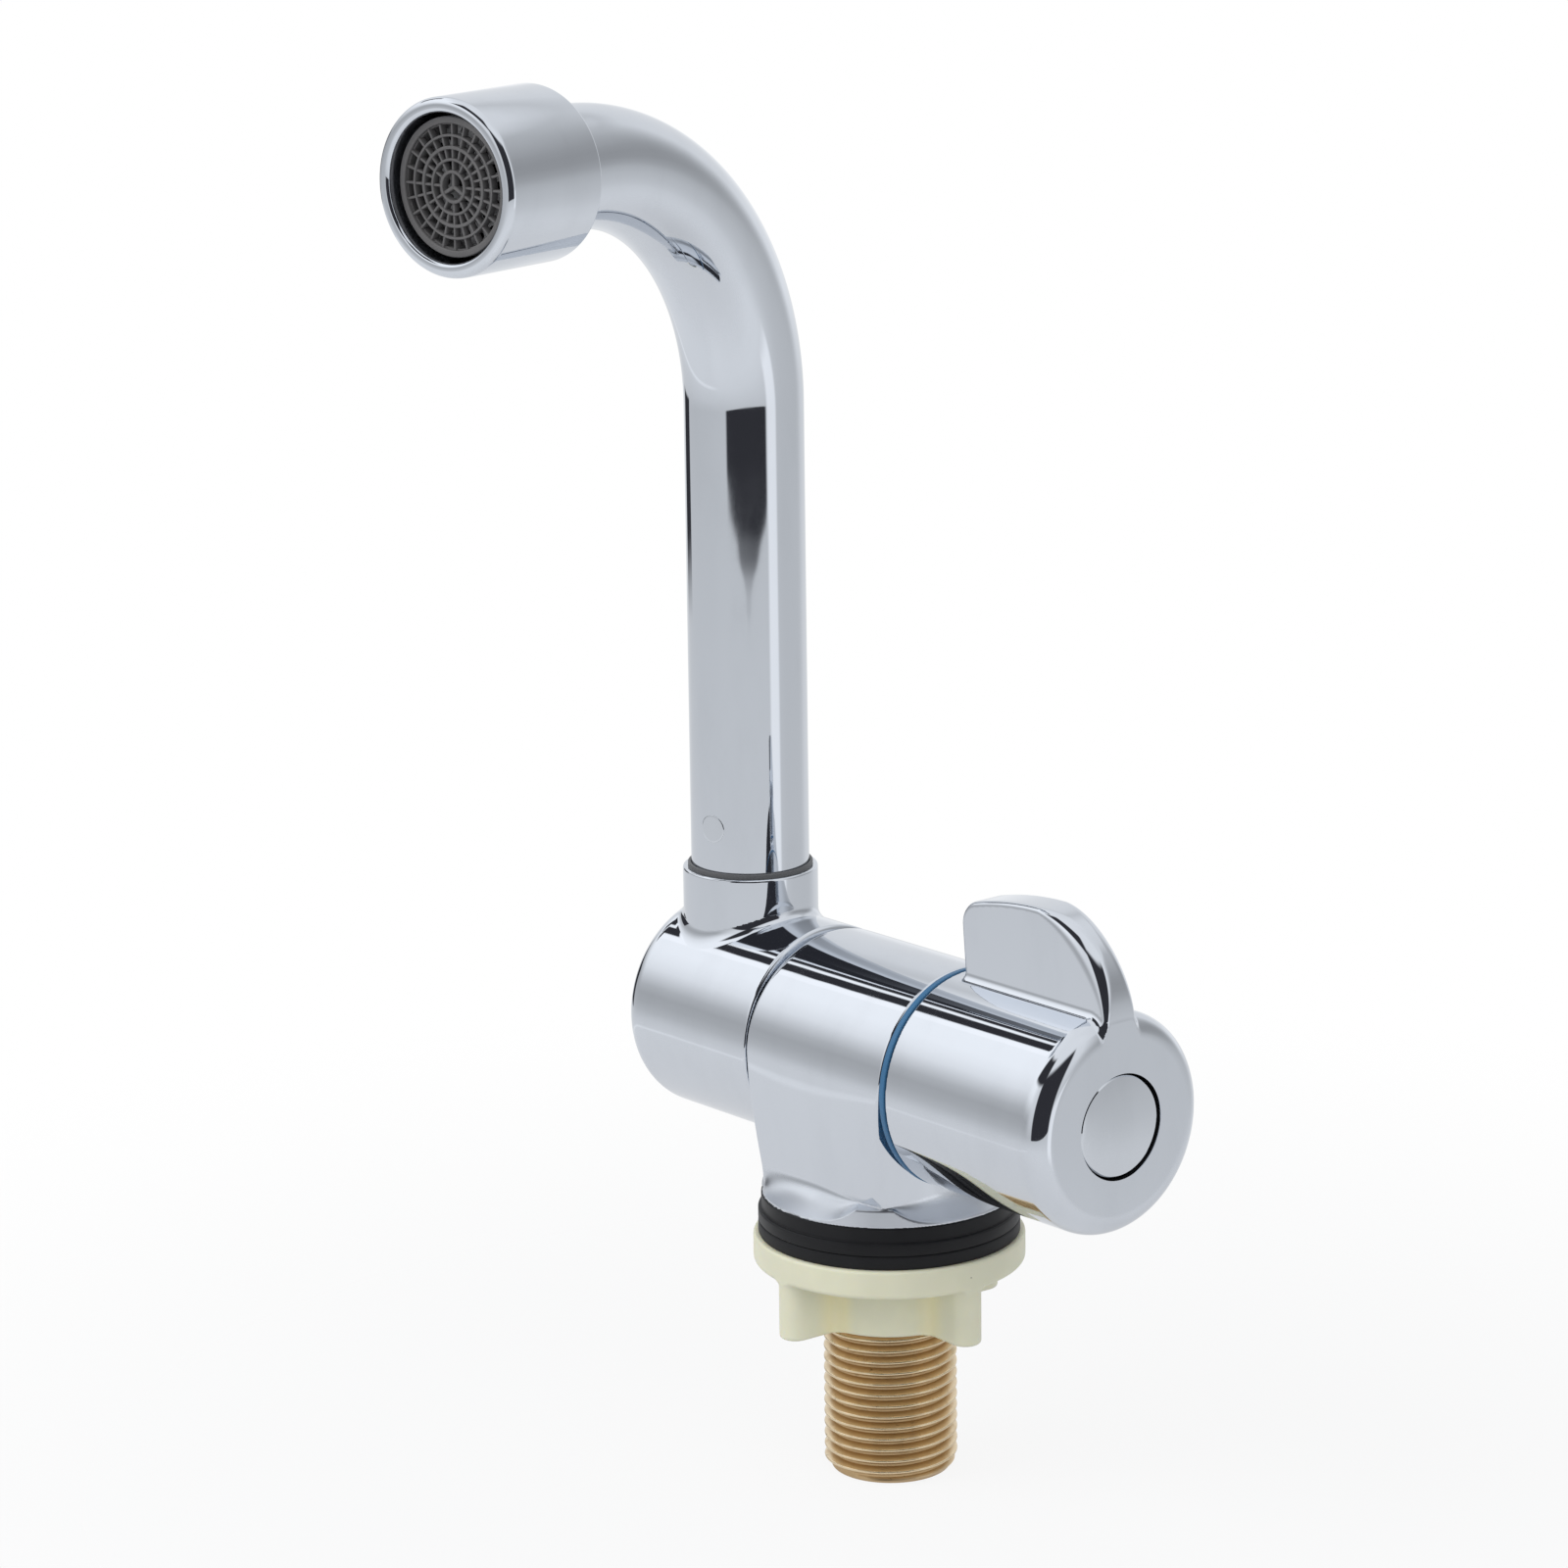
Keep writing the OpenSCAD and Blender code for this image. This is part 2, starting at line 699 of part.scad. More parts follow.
module spout_seal() {
    color([0.1, 0.1, 0.1]) on_spout(neck_seal_z) o_ring(insert_neck_r, neck_seal_d);
}

module aerator_housing() {
    color("silver") on_arm(arm_back) difference() {
        round_bar(aerator_r, aerator_len, aerator_round);
        translate([0, 0, -cut]) cylinder(r = tube_r + slip, h = tube_entry + cut);
        cylinder(r = tube_bore_r, h = aerator_len);
        translate([0, 0, cavity_start]) cylinder(r = outlet_r, h = aerator_len - cavity_start + cut);
    }
}

module aerator_washer() {
    color([0.1, 0.1, 0.1]) on_arm(arm_back + cavity_start) pipe(outlet_r - slip, tube_bore_r, washer_t);
}

module aerator_cage() {
    color([0.35, 0.36, 0.38]) on_arm(arm_back + cage_start) pipe(grille_r, grille_r - cage_wall, cage_len);
}

module aerator_screen() {
    color([0.6, 0.6, 0.62]) on_arm(arm_back + cage_start + cage_len / 2) difference() {
        cylinder(r = grille_r - cage_wall - slip, h = screen_t);
        for (ring = [1 : screen_rings])
            for (i = [0 : 6 * ring - 1])
                rotate(60 * i / ring) translate([ring * screen_pitch, 0, -cut])
                    cylinder(r = screen_hole_r, h = screen_t + 2 * cut);
    }
}

// Radius of one of the grille's rings, counted from the middle. The last one is the rim's inner edge.
function grille_ring_r(i) =
    grille_hub_r + (grille_r - grille_rim - grille_hub_r) * (i - 1) / (grille_rings - 1);

// A row of spokes between two radii.
module spokes(count, from_r, to_r) {
    for (i = [0 : count - 1])
        rotate(360 * i / count) translate([from_r, -grille_bar / 2, 0])
            cube([to_r - from_r, grille_bar, grille_t]);
}

module aerator_grille() {
    color([0.42, 0.43, 0.45]) on_arm(arm_back + grille_start) {
        pipe(grille_r, grille_r - grille_rim, grille_t);
        for (i = [1 : grille_rings - 1])
            pipe(grille_ring_r(i) + grille_bar / 2, grille_ring_r(i) - grille_bar / 2, grille_t);
        spokes(spokes_outer, grille_ring_r(spoke_change), grille_r - grille_rim / 2);
        spokes(spokes_inner, grille_ring_r(1), grille_ring_r(spoke_change));
        spokes(spokes_middle, 0, grille_ring_r(1));
    }
}

// The back nut's sleeve and wings, seen from below.
module nut_outline() {
    wing_r = (wing_span - wing_t) / 2;
    circle(r = nut_sleeve_r);
    for (i = [0 : wing_count - 1])
        rotate(nut_turn + 360 * i / wing_count) {
            translate([0, -wing_t / 2]) square([wing_r, wing_t]);
            translate([wing_r, 0]) circle(d = wing_t);
        }
}

module backnut() {
    color([0.9, 0.89, 0.76]) difference() {
        union() {
            translate([0, 0, -nut_flange_t]) cylinder(r = nut_flange_d / 2, h = nut_flange_t);
            translate([0, 0, -nut_flange_t - nut_sleeve_len])
                linear_extrude(nut_sleeve_len + slice) nut_outline();
        }
        translate([0, 0, -nut_flange_t - nut_sleeve_len - cut])
            cylinder(r = nut_bore_r, h = nut_flange_t + nut_sleeve_len + 2 * cut);
    }
}

valve_body();
base_ring();
base_gasket();
threaded_shank();
shank_seal();
hinge_spigot();
hub_seals();
retaining_screw();
retaining_washer();
indicator_ring();
cartridge_housing();
cartridge_seal();
fixed_disc();
gland_nut();
handle_knob();
index_cap();
handle_screw();
cartridge_spindle();
moving_disc();
spindle_seal();
spout_hub();
friction_washer();
hub_end_cap();
collar_bush();
spout_tube();
spout_insert();
spout_pin();
spout_clip();
spout_seal();
aerator_housing();
aerator_washer();
aerator_cage();
aerator_screen();
aerator_grille();
backnut();
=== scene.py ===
"""Looks of a folding caravan tap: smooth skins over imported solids, finishes and a studio."""

import json
import logging
import math
from contextlib import contextmanager
from dataclasses import dataclass
from enum import Enum
from functools import reduce
from typing import Callable, Iterator, Sequence

import bmesh
import bpy
import numpy as np
from mathutils import Matrix, Vector


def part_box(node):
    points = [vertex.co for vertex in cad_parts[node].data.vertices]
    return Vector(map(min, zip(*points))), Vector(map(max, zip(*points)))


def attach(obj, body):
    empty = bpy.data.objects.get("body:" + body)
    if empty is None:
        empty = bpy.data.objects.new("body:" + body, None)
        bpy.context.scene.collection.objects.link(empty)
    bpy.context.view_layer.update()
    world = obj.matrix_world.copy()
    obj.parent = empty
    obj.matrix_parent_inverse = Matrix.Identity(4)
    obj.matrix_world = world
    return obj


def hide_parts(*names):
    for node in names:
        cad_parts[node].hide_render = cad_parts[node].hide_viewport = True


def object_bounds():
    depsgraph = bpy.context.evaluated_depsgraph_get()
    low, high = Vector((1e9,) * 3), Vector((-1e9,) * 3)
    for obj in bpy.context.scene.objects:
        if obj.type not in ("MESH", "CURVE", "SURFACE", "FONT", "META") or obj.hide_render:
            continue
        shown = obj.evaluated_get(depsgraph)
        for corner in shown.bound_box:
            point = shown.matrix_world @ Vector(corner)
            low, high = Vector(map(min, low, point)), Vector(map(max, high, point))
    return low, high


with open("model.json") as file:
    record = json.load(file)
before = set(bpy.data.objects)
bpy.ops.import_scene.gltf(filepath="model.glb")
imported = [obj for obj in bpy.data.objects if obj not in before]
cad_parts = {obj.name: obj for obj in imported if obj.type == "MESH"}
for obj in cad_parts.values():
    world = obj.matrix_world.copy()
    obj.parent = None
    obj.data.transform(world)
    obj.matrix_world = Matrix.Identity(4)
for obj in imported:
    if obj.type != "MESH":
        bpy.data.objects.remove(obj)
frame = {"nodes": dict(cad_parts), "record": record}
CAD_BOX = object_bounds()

log = logging.getLogger("tap")

MM = 0.001
FULL_TURN = 2.0 * math.pi
QUARTER_TURN = math.pi / 2.0
SAME_SPOT = 1e-7  # places closer than this are one
TINY = 1e-6  # counts as zero
NO_LENGTH = 1e-12  # keeps a vector's length off zero
SPARE = 5.0 * MM  # how far a cutting tool stands out of the work

Triple = tuple[float, float, float]
Colour = Triple
Corner = Triple
Span = tuple[float, float]
Ramp = tuple[Span, ...]
Distance = Callable[[np.ndarray], np.ndarray]
Lean = Callable[[np.ndarray, np.ndarray], np.ndarray]


class Carrier(Enum):
    """The moving bodies that pieces ride on."""

    BODY = "body"
    HANDLE = "handle"
    HUB = "hub"
    SPOUT = "spout"
    NUT = "nut"


class Slot(Enum):
    """The record's material slots."""

    CHROME = "chrome"
    CHROME_PLASTIC = "chrome_plastic"
    BRASS = "brass"
    STEEL = "steel"
    BLACK_PLASTIC = "black_plastic"
    BLACK_RUBBER = "black_rubber"
    BLUE_PLASTIC = "blue_plastic"
    GREY_PLASTIC = "grey_plastic"
    WHITE_PLASTIC = "white_plastic"
    WHITE_CERAMIC = "white_ceramic"
    CREAM_PLASTIC = "cream_plastic"


class Round(Enum):
    """What a bevel rounds off."""

    EDGES = "EDGES"
    CORNERS = "VERTICES"


class Reading(Enum):
    """What can be read of every face."""

    CENTRE = "center"
    NORMAL = "normal"


@dataclass(frozen=True)
class Noise:
    """Cloudy noise: clouds to a metre, octaves, stretch on each axis, levels it is cut to."""

    scale: float
    detail: float = 3.0
    stretch: Triple = (1.0, 1.0, 1.0)
    levels: Span | None = None


class Value:
    """A number that flows through a shader, usable in Python expressions."""

    def __init__(self, graph: "Graph", socket: bpy.types.NodeSocket) -> None:
        """Wrap one output socket of a graph."""
        self.graph = graph
        self.socket = socket

    def math(self, operation: str, *others: "Value | float") -> "Value":
        """Feed this value, then the others, into one Math node.

        Args:
            operation: The Math node's operation.
            others: The node's further inputs.

        Returns:
            The node's result.
        """
        inputs = dict(enumerate((self, *others)))
        return self.graph.value("ShaderNodeMath", {"operation": operation}, inputs)

    def __add__(self, other: "Value | float") -> "Value":
        """Add."""
        return self.math("ADD", other)

    __radd__ = __add__

    def __sub__(self, other: "Value | float") -> "Value":
        """Subtract."""
        return self.math("SUBTRACT", other)

    def __rsub__(self, other: float) -> "Value":
        """Subtract this from a number."""
        return (self * -1.0) + other

    def __mul__(self, other: "Value | float") -> "Value":
        """Multiply."""
        return self.math("MULTIPLY", other)

    __rmul__ = __mul__

    def __truediv__(self, other: "Value | float") -> "Value":
        """Divide."""
        return self.math("DIVIDE", other)

    def __abs__(self) -> "Value":
        """Drop the sign."""
        return self.math("ABSOLUTE")

    def hypot(self, other: "Value") -> "Value":
        """Return the length of two sides at right angles."""
        return (self * self + other * other).math("SQRT")

    def most(self, other: "Value") -> "Value":
        """Return the larger of two values."""
        return self.math("MAXIMUM", other)

    def ramp(self, low: float, high: float) -> "Value":
        """Rise smoothly from 0 at low to 1 at high.

        Args:
            low: Where the result is 0.
            high: Where the result is 1.

        Returns:
            A value from 0 to 1.
        """
        settings = {"interpolation_type": "SMOOTHSTEP"}
        inputs = {"Value": self, "From Min": low, "From Max": high, "To Min": 0.0, "To Max": 1.0}
        return self.graph.value("ShaderNodeMapRange", settings, inputs)


class Graph:
    """A node tree that is written as calls and expressions."""

    def __init__(self, tree: bpy.types.NodeTree) -> None:
        """Take over a tree and empty it."""
        self.tree = tree
        tree.nodes.clear()

    def node(self, kind: str, settings: dict | None = None,
             inputs: dict | None = None) -> bpy.types.Node:
        """Add one node.

        Args:
            kind: The node's type.
            settings: Its properties, set first; "stops" fills a colour ramp.
            inputs: Numbers, colours, sockets or values by socket name or place.

        Returns:
            The node.
        """
        node = self.tree.nodes.new(kind)
        for name, setting in (settings or {}).items():
            if name == "stops":
                ramp = node.color_ramp
                while len(ramp.elements) < len(setting):
                    ramp.elements.new(1.0)
                for element, (place, colour) in zip(ramp.elements, setting):
                    element.position = place
                    element.color = (*colour, 1.0)
            else:
                setattr(node, name, setting)
        for key, given in (inputs or {}).items():
            socket = node.inputs[key]
            if isinstance(given, Value):
                given = given.socket
            if isinstance(given, bpy.types.NodeSocket):
                self.tree.links.new(given, socket)
            else:
                socket.default_value = given
        return node

    def value(self, kind: str, settings: dict | None = None, inputs: dict | None = None,
              output: int | str = 0) -> Value:
        """Add a node and take one of its outputs as a value.

        Args:
            kind: The node's type.
            settings: Its properties.
            inputs: Its inputs.
            output: The output's name or place.

        Returns:
            The output as a value.
        """
        return Value(self, self.node(kind, settings, inputs).outputs[output])

    def place(self) -> bpy.types.NodeSocket:
        """Return the piece's own coordinates, in metres."""
        return self.node("ShaderNodeTexCoord").outputs["Object"]

    def split(self, vector: bpy.types.NodeSocket) -> tuple[Value, Value, Value]:
        """Split a vector into its three numbers."""
        node = self.node("ShaderNodeSeparateXYZ", None, {0: vector})
        return tuple(Value(self, out) for out in node.outputs)

    def noise(self, kind: Noise) -> Value:
        """Make cloudy noise in the piece's own coordinates.

        Args:
            kind: The noise's sizes and levels.

        Returns:
            Noise around one half, or from 0 to 1 where it is cut to levels.
        """
        inputs = {"Vector": self.place(), "Scale": kind.stretch}
        mapping = self.node("ShaderNodeMapping", None, inputs)
        inputs = {"Vector": mapping.outputs[0], "Scale": kind.scale, "Detail": kind.detail}
        noise = self.value("ShaderNodeTexNoise", None, inputs, "Fac")
        return noise.ramp(*kind.levels) if kind.levels else noise

    def blend(self, share: Value, first: object, second: object) -> bpy.types.NodeSocket:
        """Mix two colours.

        Args:
            share: How much of the second colour shows.
            first: A colour or a colour socket.
            second: A colour or a colour socket.

        Returns:
            The mixed colour.
        """
        one, two = [(*c, 1.0) if isinstance(c, tuple) else c for c in (first, second)]
        mix = self.node("ShaderNodeMix", {"data_type": "RGBA"}, {0: share, 6: one, 7: two})
        return mix.outputs[2]

    def bump(self, height: Value, strength: float, depth: float) -> bpy.types.NodeSocket:
        """Turn a height into a normal.

        Args:
            height: The relief, from 0 to 1.
            strength: How much of it shows.
            depth: Its depth in metres.

        Returns:
            The normal.
        """
        inputs = {"Strength": strength, "Distance": depth, "Height": height}
        return self.node("ShaderNodeBump", None, inputs).outputs["Normal"]

    def surface(self, inputs: dict) -> bpy.types.Node:
        """Add the principled shader and the material output.

        Args:
            inputs: The shader's inputs.

        Returns:
            The shader node.
        """
        shader = self.node("ShaderNodeBsdfPrincipled", None, inputs)
        self.node("ShaderNodeOutputMaterial", None, {"Surface": shader.outputs[0]})
        return shader


@dataclass(frozen=True)
class Finish:
    """A surface finish that becomes one material."""

    name: str
    colour: Colour
    roughness: float

    def material(self) -> bpy.types.Material:
        """Make the finish's material the first time, and find it again later.

        Returns:
            The material.
        """
        made = bpy.data.materials.get(self.name)
        if made is None:
            made = bpy.data.materials.new(self.name)
            made.use_nodes = True
            made.diffuse_color = (*self.colour, 1.0)
            self.paint(Graph(made.node_tree))
        return made

    def shade(self, factor: float) -> Colour:
        """Return the colour made lighter or darker by a factor."""
        return tuple(min(1.0, c * factor) for c in self.colour)

    def paint(self, graph: Graph) -> None:
        """Fill the material's graph; each kind of finish has its own way."""
        raise NotImplementedError


@dataclass(frozen=True)
class ChromeFinish(Finish):
    """Bright plating over a casting or a drawn tube, with faint haze and waviness."""

    waviness: float = 0.02
    wave_depth: float = 1.0 * MM
    haze: float = 0.03
    fine_haze: float = 0.012
    smear_share: float = 0.6
    smear_shade: float = 0.95
    frost: float = 0.0
    frost_span: Span = (9.4 * MM, 11.4 * MM)
    smears: Noise = Noise(160.0, 4.0, (1.0, 1.0, 0.35), (0.45, 0.75))
    fine: Noise = Noise(2600.0, 2.0)
    swell: Noise = Noise(75.0, 1.0)

    def paint(self, graph: Graph) -> None:
        """Paint a mirror whose haze, tint and flatness change a little from place to place.

        Args:
            graph: The material's graph.
        """
        smears = graph.noise(self.smears)
        rough = smears * self.haze + graph.noise(self.fine) * self.fine_haze + self.roughness
        if self.frost:
            _, _, z = graph.split(graph.place())
            rough = rough + (1.0 - z.ramp(*self.frost_span)) * self.frost
        dulled = self.shade(self.smear_shade)
        graph.surface({
            "Base Color": graph.blend(smears * self.smear_share, self.colour, dulled),
            "Roughness": rough,
            "Metallic": 1.0,
            "Normal": graph.bump(graph.noise(self.swell), self.waviness, self.wave_depth),
        })


@dataclass(frozen=True)
class BrassFinish(Finish):
    """Raw machined brass, with tool marks, a little random tarnish and painted shade low in the
    thread.
    """

    thread: Span = (9.4 * MM, 10.4 * MM)
    painted_root_shade: Colour = (0.52, 0.35, 0.17)
    painted_root_shade_share: float = 0.8
    root_haze: float = 0.1
    tarnish_colour: Colour = (0.60, 0.42, 0.22)
    tarnish_share: float = 0.25
    tarnish_haze: float = 0.14
    speck_colour: Colour = (0.06, 0.042, 0.025)
    speck_share: float = 0.8
    mark_haze: float = 0.1
    mark_strength: float = 0.25
    mark_depth: float = 0.05 * MM
    tarnish: Noise = Noise(420.0, 5.0, levels=(0.48, 0.72))
    specks: Noise = Noise(1500.0, 2.0, levels=(0.66, 0.74))
    speckled: Noise = Noise(90.0, levels=(0.45, 0.65))
    marks: Noise = Noise(900.0, 2.0, (0.25, 0.25, 9.0))

    def paint(self, graph: Graph) -> None:
        """Paint bright crests, roots with painted shade and more haze, dark specks and fine turning
        marks.

        Args:
            graph: The material's graph.
        """
        x, y, _ = graph.split(graph.place())
        low = 1.0 - x.hypot(y).ramp(*self.thread)
        tarnish, marks = graph.noise(self.tarnish), graph.noise(self.marks)
        specks = graph.noise(self.specks) * graph.noise(self.speckled)
        # Painted shade: the thread's roots are darkened towards brown, standing in for the shade
        # deep in the valleys.
        base = graph.blend(low * self.painted_root_shade_share, self.colour, self.painted_root_shade)
        base = graph.blend(tarnish * self.tarnish_share, base, self.tarnish_colour)
        base = graph.blend(specks * self.speck_share, base, self.speck_colour)
        rough = tarnish * self.tarnish_haze + low * self.root_haze + marks * self.mark_haze
        graph.surface({
            "Base Color": base,
            "Roughness": rough + self.roughness,
            "Metallic": 1.0,
            "Normal": graph.bump(marks, self.mark_strength, self.mark_depth),
        })


@dataclass(frozen=True)
class MouldedFinish(Finish):
    """A moulded plastic or rubber: faint mottling, a fine skin and a few dark specks.

    Some have light that bleeds through, and the nut has a painted warm yellow tint of bounced light
    deep between its wings.
    """

    mottle: float = 0.1
    mottle_up: float = 0.5
    mottle_haze: float = 0.1
    grain: float = 0.08
    grain_haze: float = 0.06
    grain_depth: float = 0.1 * MM
    gloss: float = 0.5
    specks: float = 0.0
    speck_colour: Colour = (0.12, 0.1, 0.07)
    bleed: float = 0.0
    bleed_depths: Triple = (1.0, 0.8, 0.45)
    bleed_scale: float = 1.5 * MM
    painted_bounce: float = 0.0
    painted_bounce_colour: Colour = (1.0, 0.90, 0.52)
    painted_bounce_inside: Span = (13.5 * MM, 17.5 * MM)
    painted_bounce_beside: Span = (2.8 * MM, 5.2 * MM)
    painted_bounce_under: Span = (-6.0 * MM, -4.0 * MM)
    clouds: Noise = Noise(110.0, 4.0, levels=(0.35, 0.68))
    dots: Noise = Noise(620.0, 2.0, levels=(0.745, 0.79))
    skin: Noise = Noise(3200.0)

    def paint(self, graph: Graph) -> None:
        """Paint the mottled colour, the uneven sheen and the fine grain.

        Args:
            graph: The material's graph.
        """
        clouds, skin = graph.noise(self.clouds), graph.noise(self.skin)
        dark = self.shade(1.0 - self.mottle)
        pale = self.shade(1.0 + self.mottle_up * self.mottle)
        dots = graph.noise(self.dots) * self.specks
        base = graph.blend(dots, graph.blend(clouds, dark, pale), self.speck_colour)
        # Painted bounced light: a warm yellow tint deep in the corners between the nut's wings and
        # its sleeve, under the flange.
        if self.painted_bounce > 0.0:
            x, y, z = graph.split(graph.place())
            beside = 1.0 - abs(x).math("MINIMUM", abs(y)).ramp(*self.painted_bounce_beside)
            inside = 1.0 - x.hypot(y).ramp(*self.painted_bounce_inside)
            bounce_mask = beside * inside * (1.0 - z.ramp(*self.painted_bounce_under))
            base = graph.blend(bounce_mask * self.painted_bounce, base, self.painted_bounce_colour)
        shader = graph.surface({
            "Base Color": base,
            "Roughness": clouds * self.mottle_haze + skin * self.grain_haze + self.roughness,
            "Normal": graph.bump(skin, self.grain, self.grain_depth),
            "Specular IOR Level": self.gloss,
        })
        if self.bleed > 0.0:
            shader.inputs["Subsurface Weight"].default_value = self.bleed
            shader.inputs["Subsurface Radius"].default_value = self.bleed_depths
            shader.inputs["Subsurface Scale"].default_value = self.bleed_scale


@dataclass(frozen=True)
class TurnedFinish(Finish):
    """Bare turned metal with fine rings."""

    shades: Span = (0.9, 1.08)
    ring_haze: float = 0.16
    ring_strength: float = 0.15
    ring_depth: float = 0.05 * MM
    rings: Noise = Noise(1400.0, 3.0, (0.3, 0.3, 4.0))
    clouds: Noise = Noise(260.0)

    def paint(self, graph: Graph) -> None:
        """Paint turning rings over a soft metal colour.

        Args:
            graph: The material's graph.
        """
        rings, clouds = graph.noise(self.rings), graph.noise(self.clouds)
        dark, pale = (self.shade(factor) for factor in self.shades)
        graph.surface({
            "Base Color": graph.blend(clouds, dark, pale),
            "Roughness": rings * self.ring_haze + self.roughness,
            "Metallic": 1.0,
            "Normal": graph.bump(rings, self.ring_strength, self.ring_depth),
        })


PLATING: Colour = (0.68, 0.712, 0.762)
CAST_CHROME = ChromeFinish("cast_chrome", PLATING, 0.022, waviness=0.035, haze=0.03)
BODY_CHROME = ChromeFinish("body_chrome", PLATING, 0.022, waviness=0.035, haze=0.03, frost=0.3)
DRAWN_CHROME = ChromeFinish("drawn_chrome", PLATING, 0.02, waviness=0.015, haze=0.025)
TRIM_CHROME = ChromeFinish("trim_chrome", (0.67, 0.70, 0.745), 0.025, waviness=0.02, haze=0.02)
RAW_BRASS = BrassFinish("raw_brass", (0.84, 0.69, 0.47), 0.22)
PLAIN_STEEL = TurnedFinish("plain_steel", (0.58, 0.58, 0.59), 0.3)
SATIN_BLACK = MouldedFinish(
    "satin_black", (0.011, 0.0113, 0.0128), 0.36, mottle=0.25, grain=0.1, gloss=0.24)
MATT_RUBBER = MouldedFinish(
    "matt_rubber", (0.0125, 0.0128, 0.0145), 0.48, mottle=0.25, grain=0.2, gloss=0.26)
RING_BLUE = MouldedFinish("ring_blue", (0.04, 0.155, 0.31), 0.3, mottle=0.08, grain=0.05)
BUSH_GREY = MouldedFinish("bush_grey", (0.115, 0.118, 0.124), 0.42, mottle=0.12, grain=0.1)
GRILLE_GREY = MouldedFinish("grille_grey", (0.135, 0.132, 0.134), 0.42, mottle=0.12, grain=0.08)
SLIP_WHITE = MouldedFinish("slip_white", (0.8, 0.8, 0.78), 0.4, mottle=0.05, grain=0.06)
LAPPED_WHITE = MouldedFinish("lapped_white", (0.85, 0.85, 0.83), 0.16, mottle=0.04, grain=0.02)
# The nut's cream carries a painted warm yellow tint of bounced light deep between its wings.
WAXY_CREAM = MouldedFinish(
    "waxy_cream", (0.82, 0.81, 0.62), 0.36, mottle=0.035, grain=0.06, gloss=0.5,
    specks=0.7, bleed=0.3, painted_bounce=0.55)

SLOT_FINISH: dict[Slot, Finish] = {
    Slot.CHROME: CAST_CHROME,
    Slot.CHROME_PLASTIC: TRIM_CHROME,
    Slot.BRASS: RAW_BRASS,
    Slot.STEEL: PLAIN_STEEL,
    Slot.BLACK_PLASTIC: SATIN_BLACK,
    Slot.BLACK_RUBBER: MATT_RUBBER,
    Slot.BLUE_PLASTIC: RING_BLUE,
    Slot.GREY_PLASTIC: GRILLE_GREY,
    Slot.WHITE_PLASTIC: SLIP_WHITE,
    Slot.WHITE_CERAMIC: LAPPED_WHITE,
    Slot.CREAM_PLASTIC: WAXY_CREAM,
}


def meet(a: np.ndarray, b: np.ndarray, edge: float | np.ndarray) -> np.ndarray:
    """Distance to what two solids share, with a rounded outer edge.

    Args:
        a: Distances to the first solid.
        b: Distances to the second solid.
        edge: The edge's radius.

    Returns:
        Distances to the common solid.
    """
    rise = np.hypot(np.maximum(edge + a, 0.0), np.maximum(edge + b, 0.0))
    return np.minimum(-edge, np.maximum(a, b)) + rise


def weld(a: np.ndarray, b: np.ndarray, fillet: float | np.ndarray) -> np.ndarray:
    """Distance to two solids joined with a concave fillet.

    Args:
        a: Distances to the first solid.
        b: Distances to the second solid.
        fillet: The fillet's radius.

    Returns:
        Distances to the joined solid.
    """
    drop = np.hypot(np.maximum(fillet - a, 0.0), np.maximum(fillet - b, 0.0))
    return np.maximum(fillet, np.minimum(a, b)) - drop


def rod(across: np.ndarray, along: np.ndarray, radius: float, start: float, end: float,
        edges: tuple[float | np.ndarray, float | np.ndarray]) -> np.ndarray:
    """Distance to a round bar with rounded ends.

    Args:
        across: Distance from the bar's axis.
        along: Place along the axis.
        radius: The bar's radius.
        start: Where it starts along the axis.
        end: Where it ends.
        edges: Edge radii at the start and the end, numbers or one for each point.

    Returns:
        Distances to the bar.
    """
    capped = meet(across - radius, start - along, edges[0])
    return meet(capped, along - end, edges[1])


def above_zero(values: np.ndarray, softness: float) -> np.ndarray:
    """Return the part of values above zero, with a soft start."""
    return (values + np.hypot(values, softness)) / 2.0


def unit(vectors: np.ndarray) -> np.ndarray:
    """Scale rows to a length of one; a row without length stays zero."""
    return vectors / np.maximum(np.linalg.norm(vectors, axis=1, keepdims=True), NO_LENGTH)


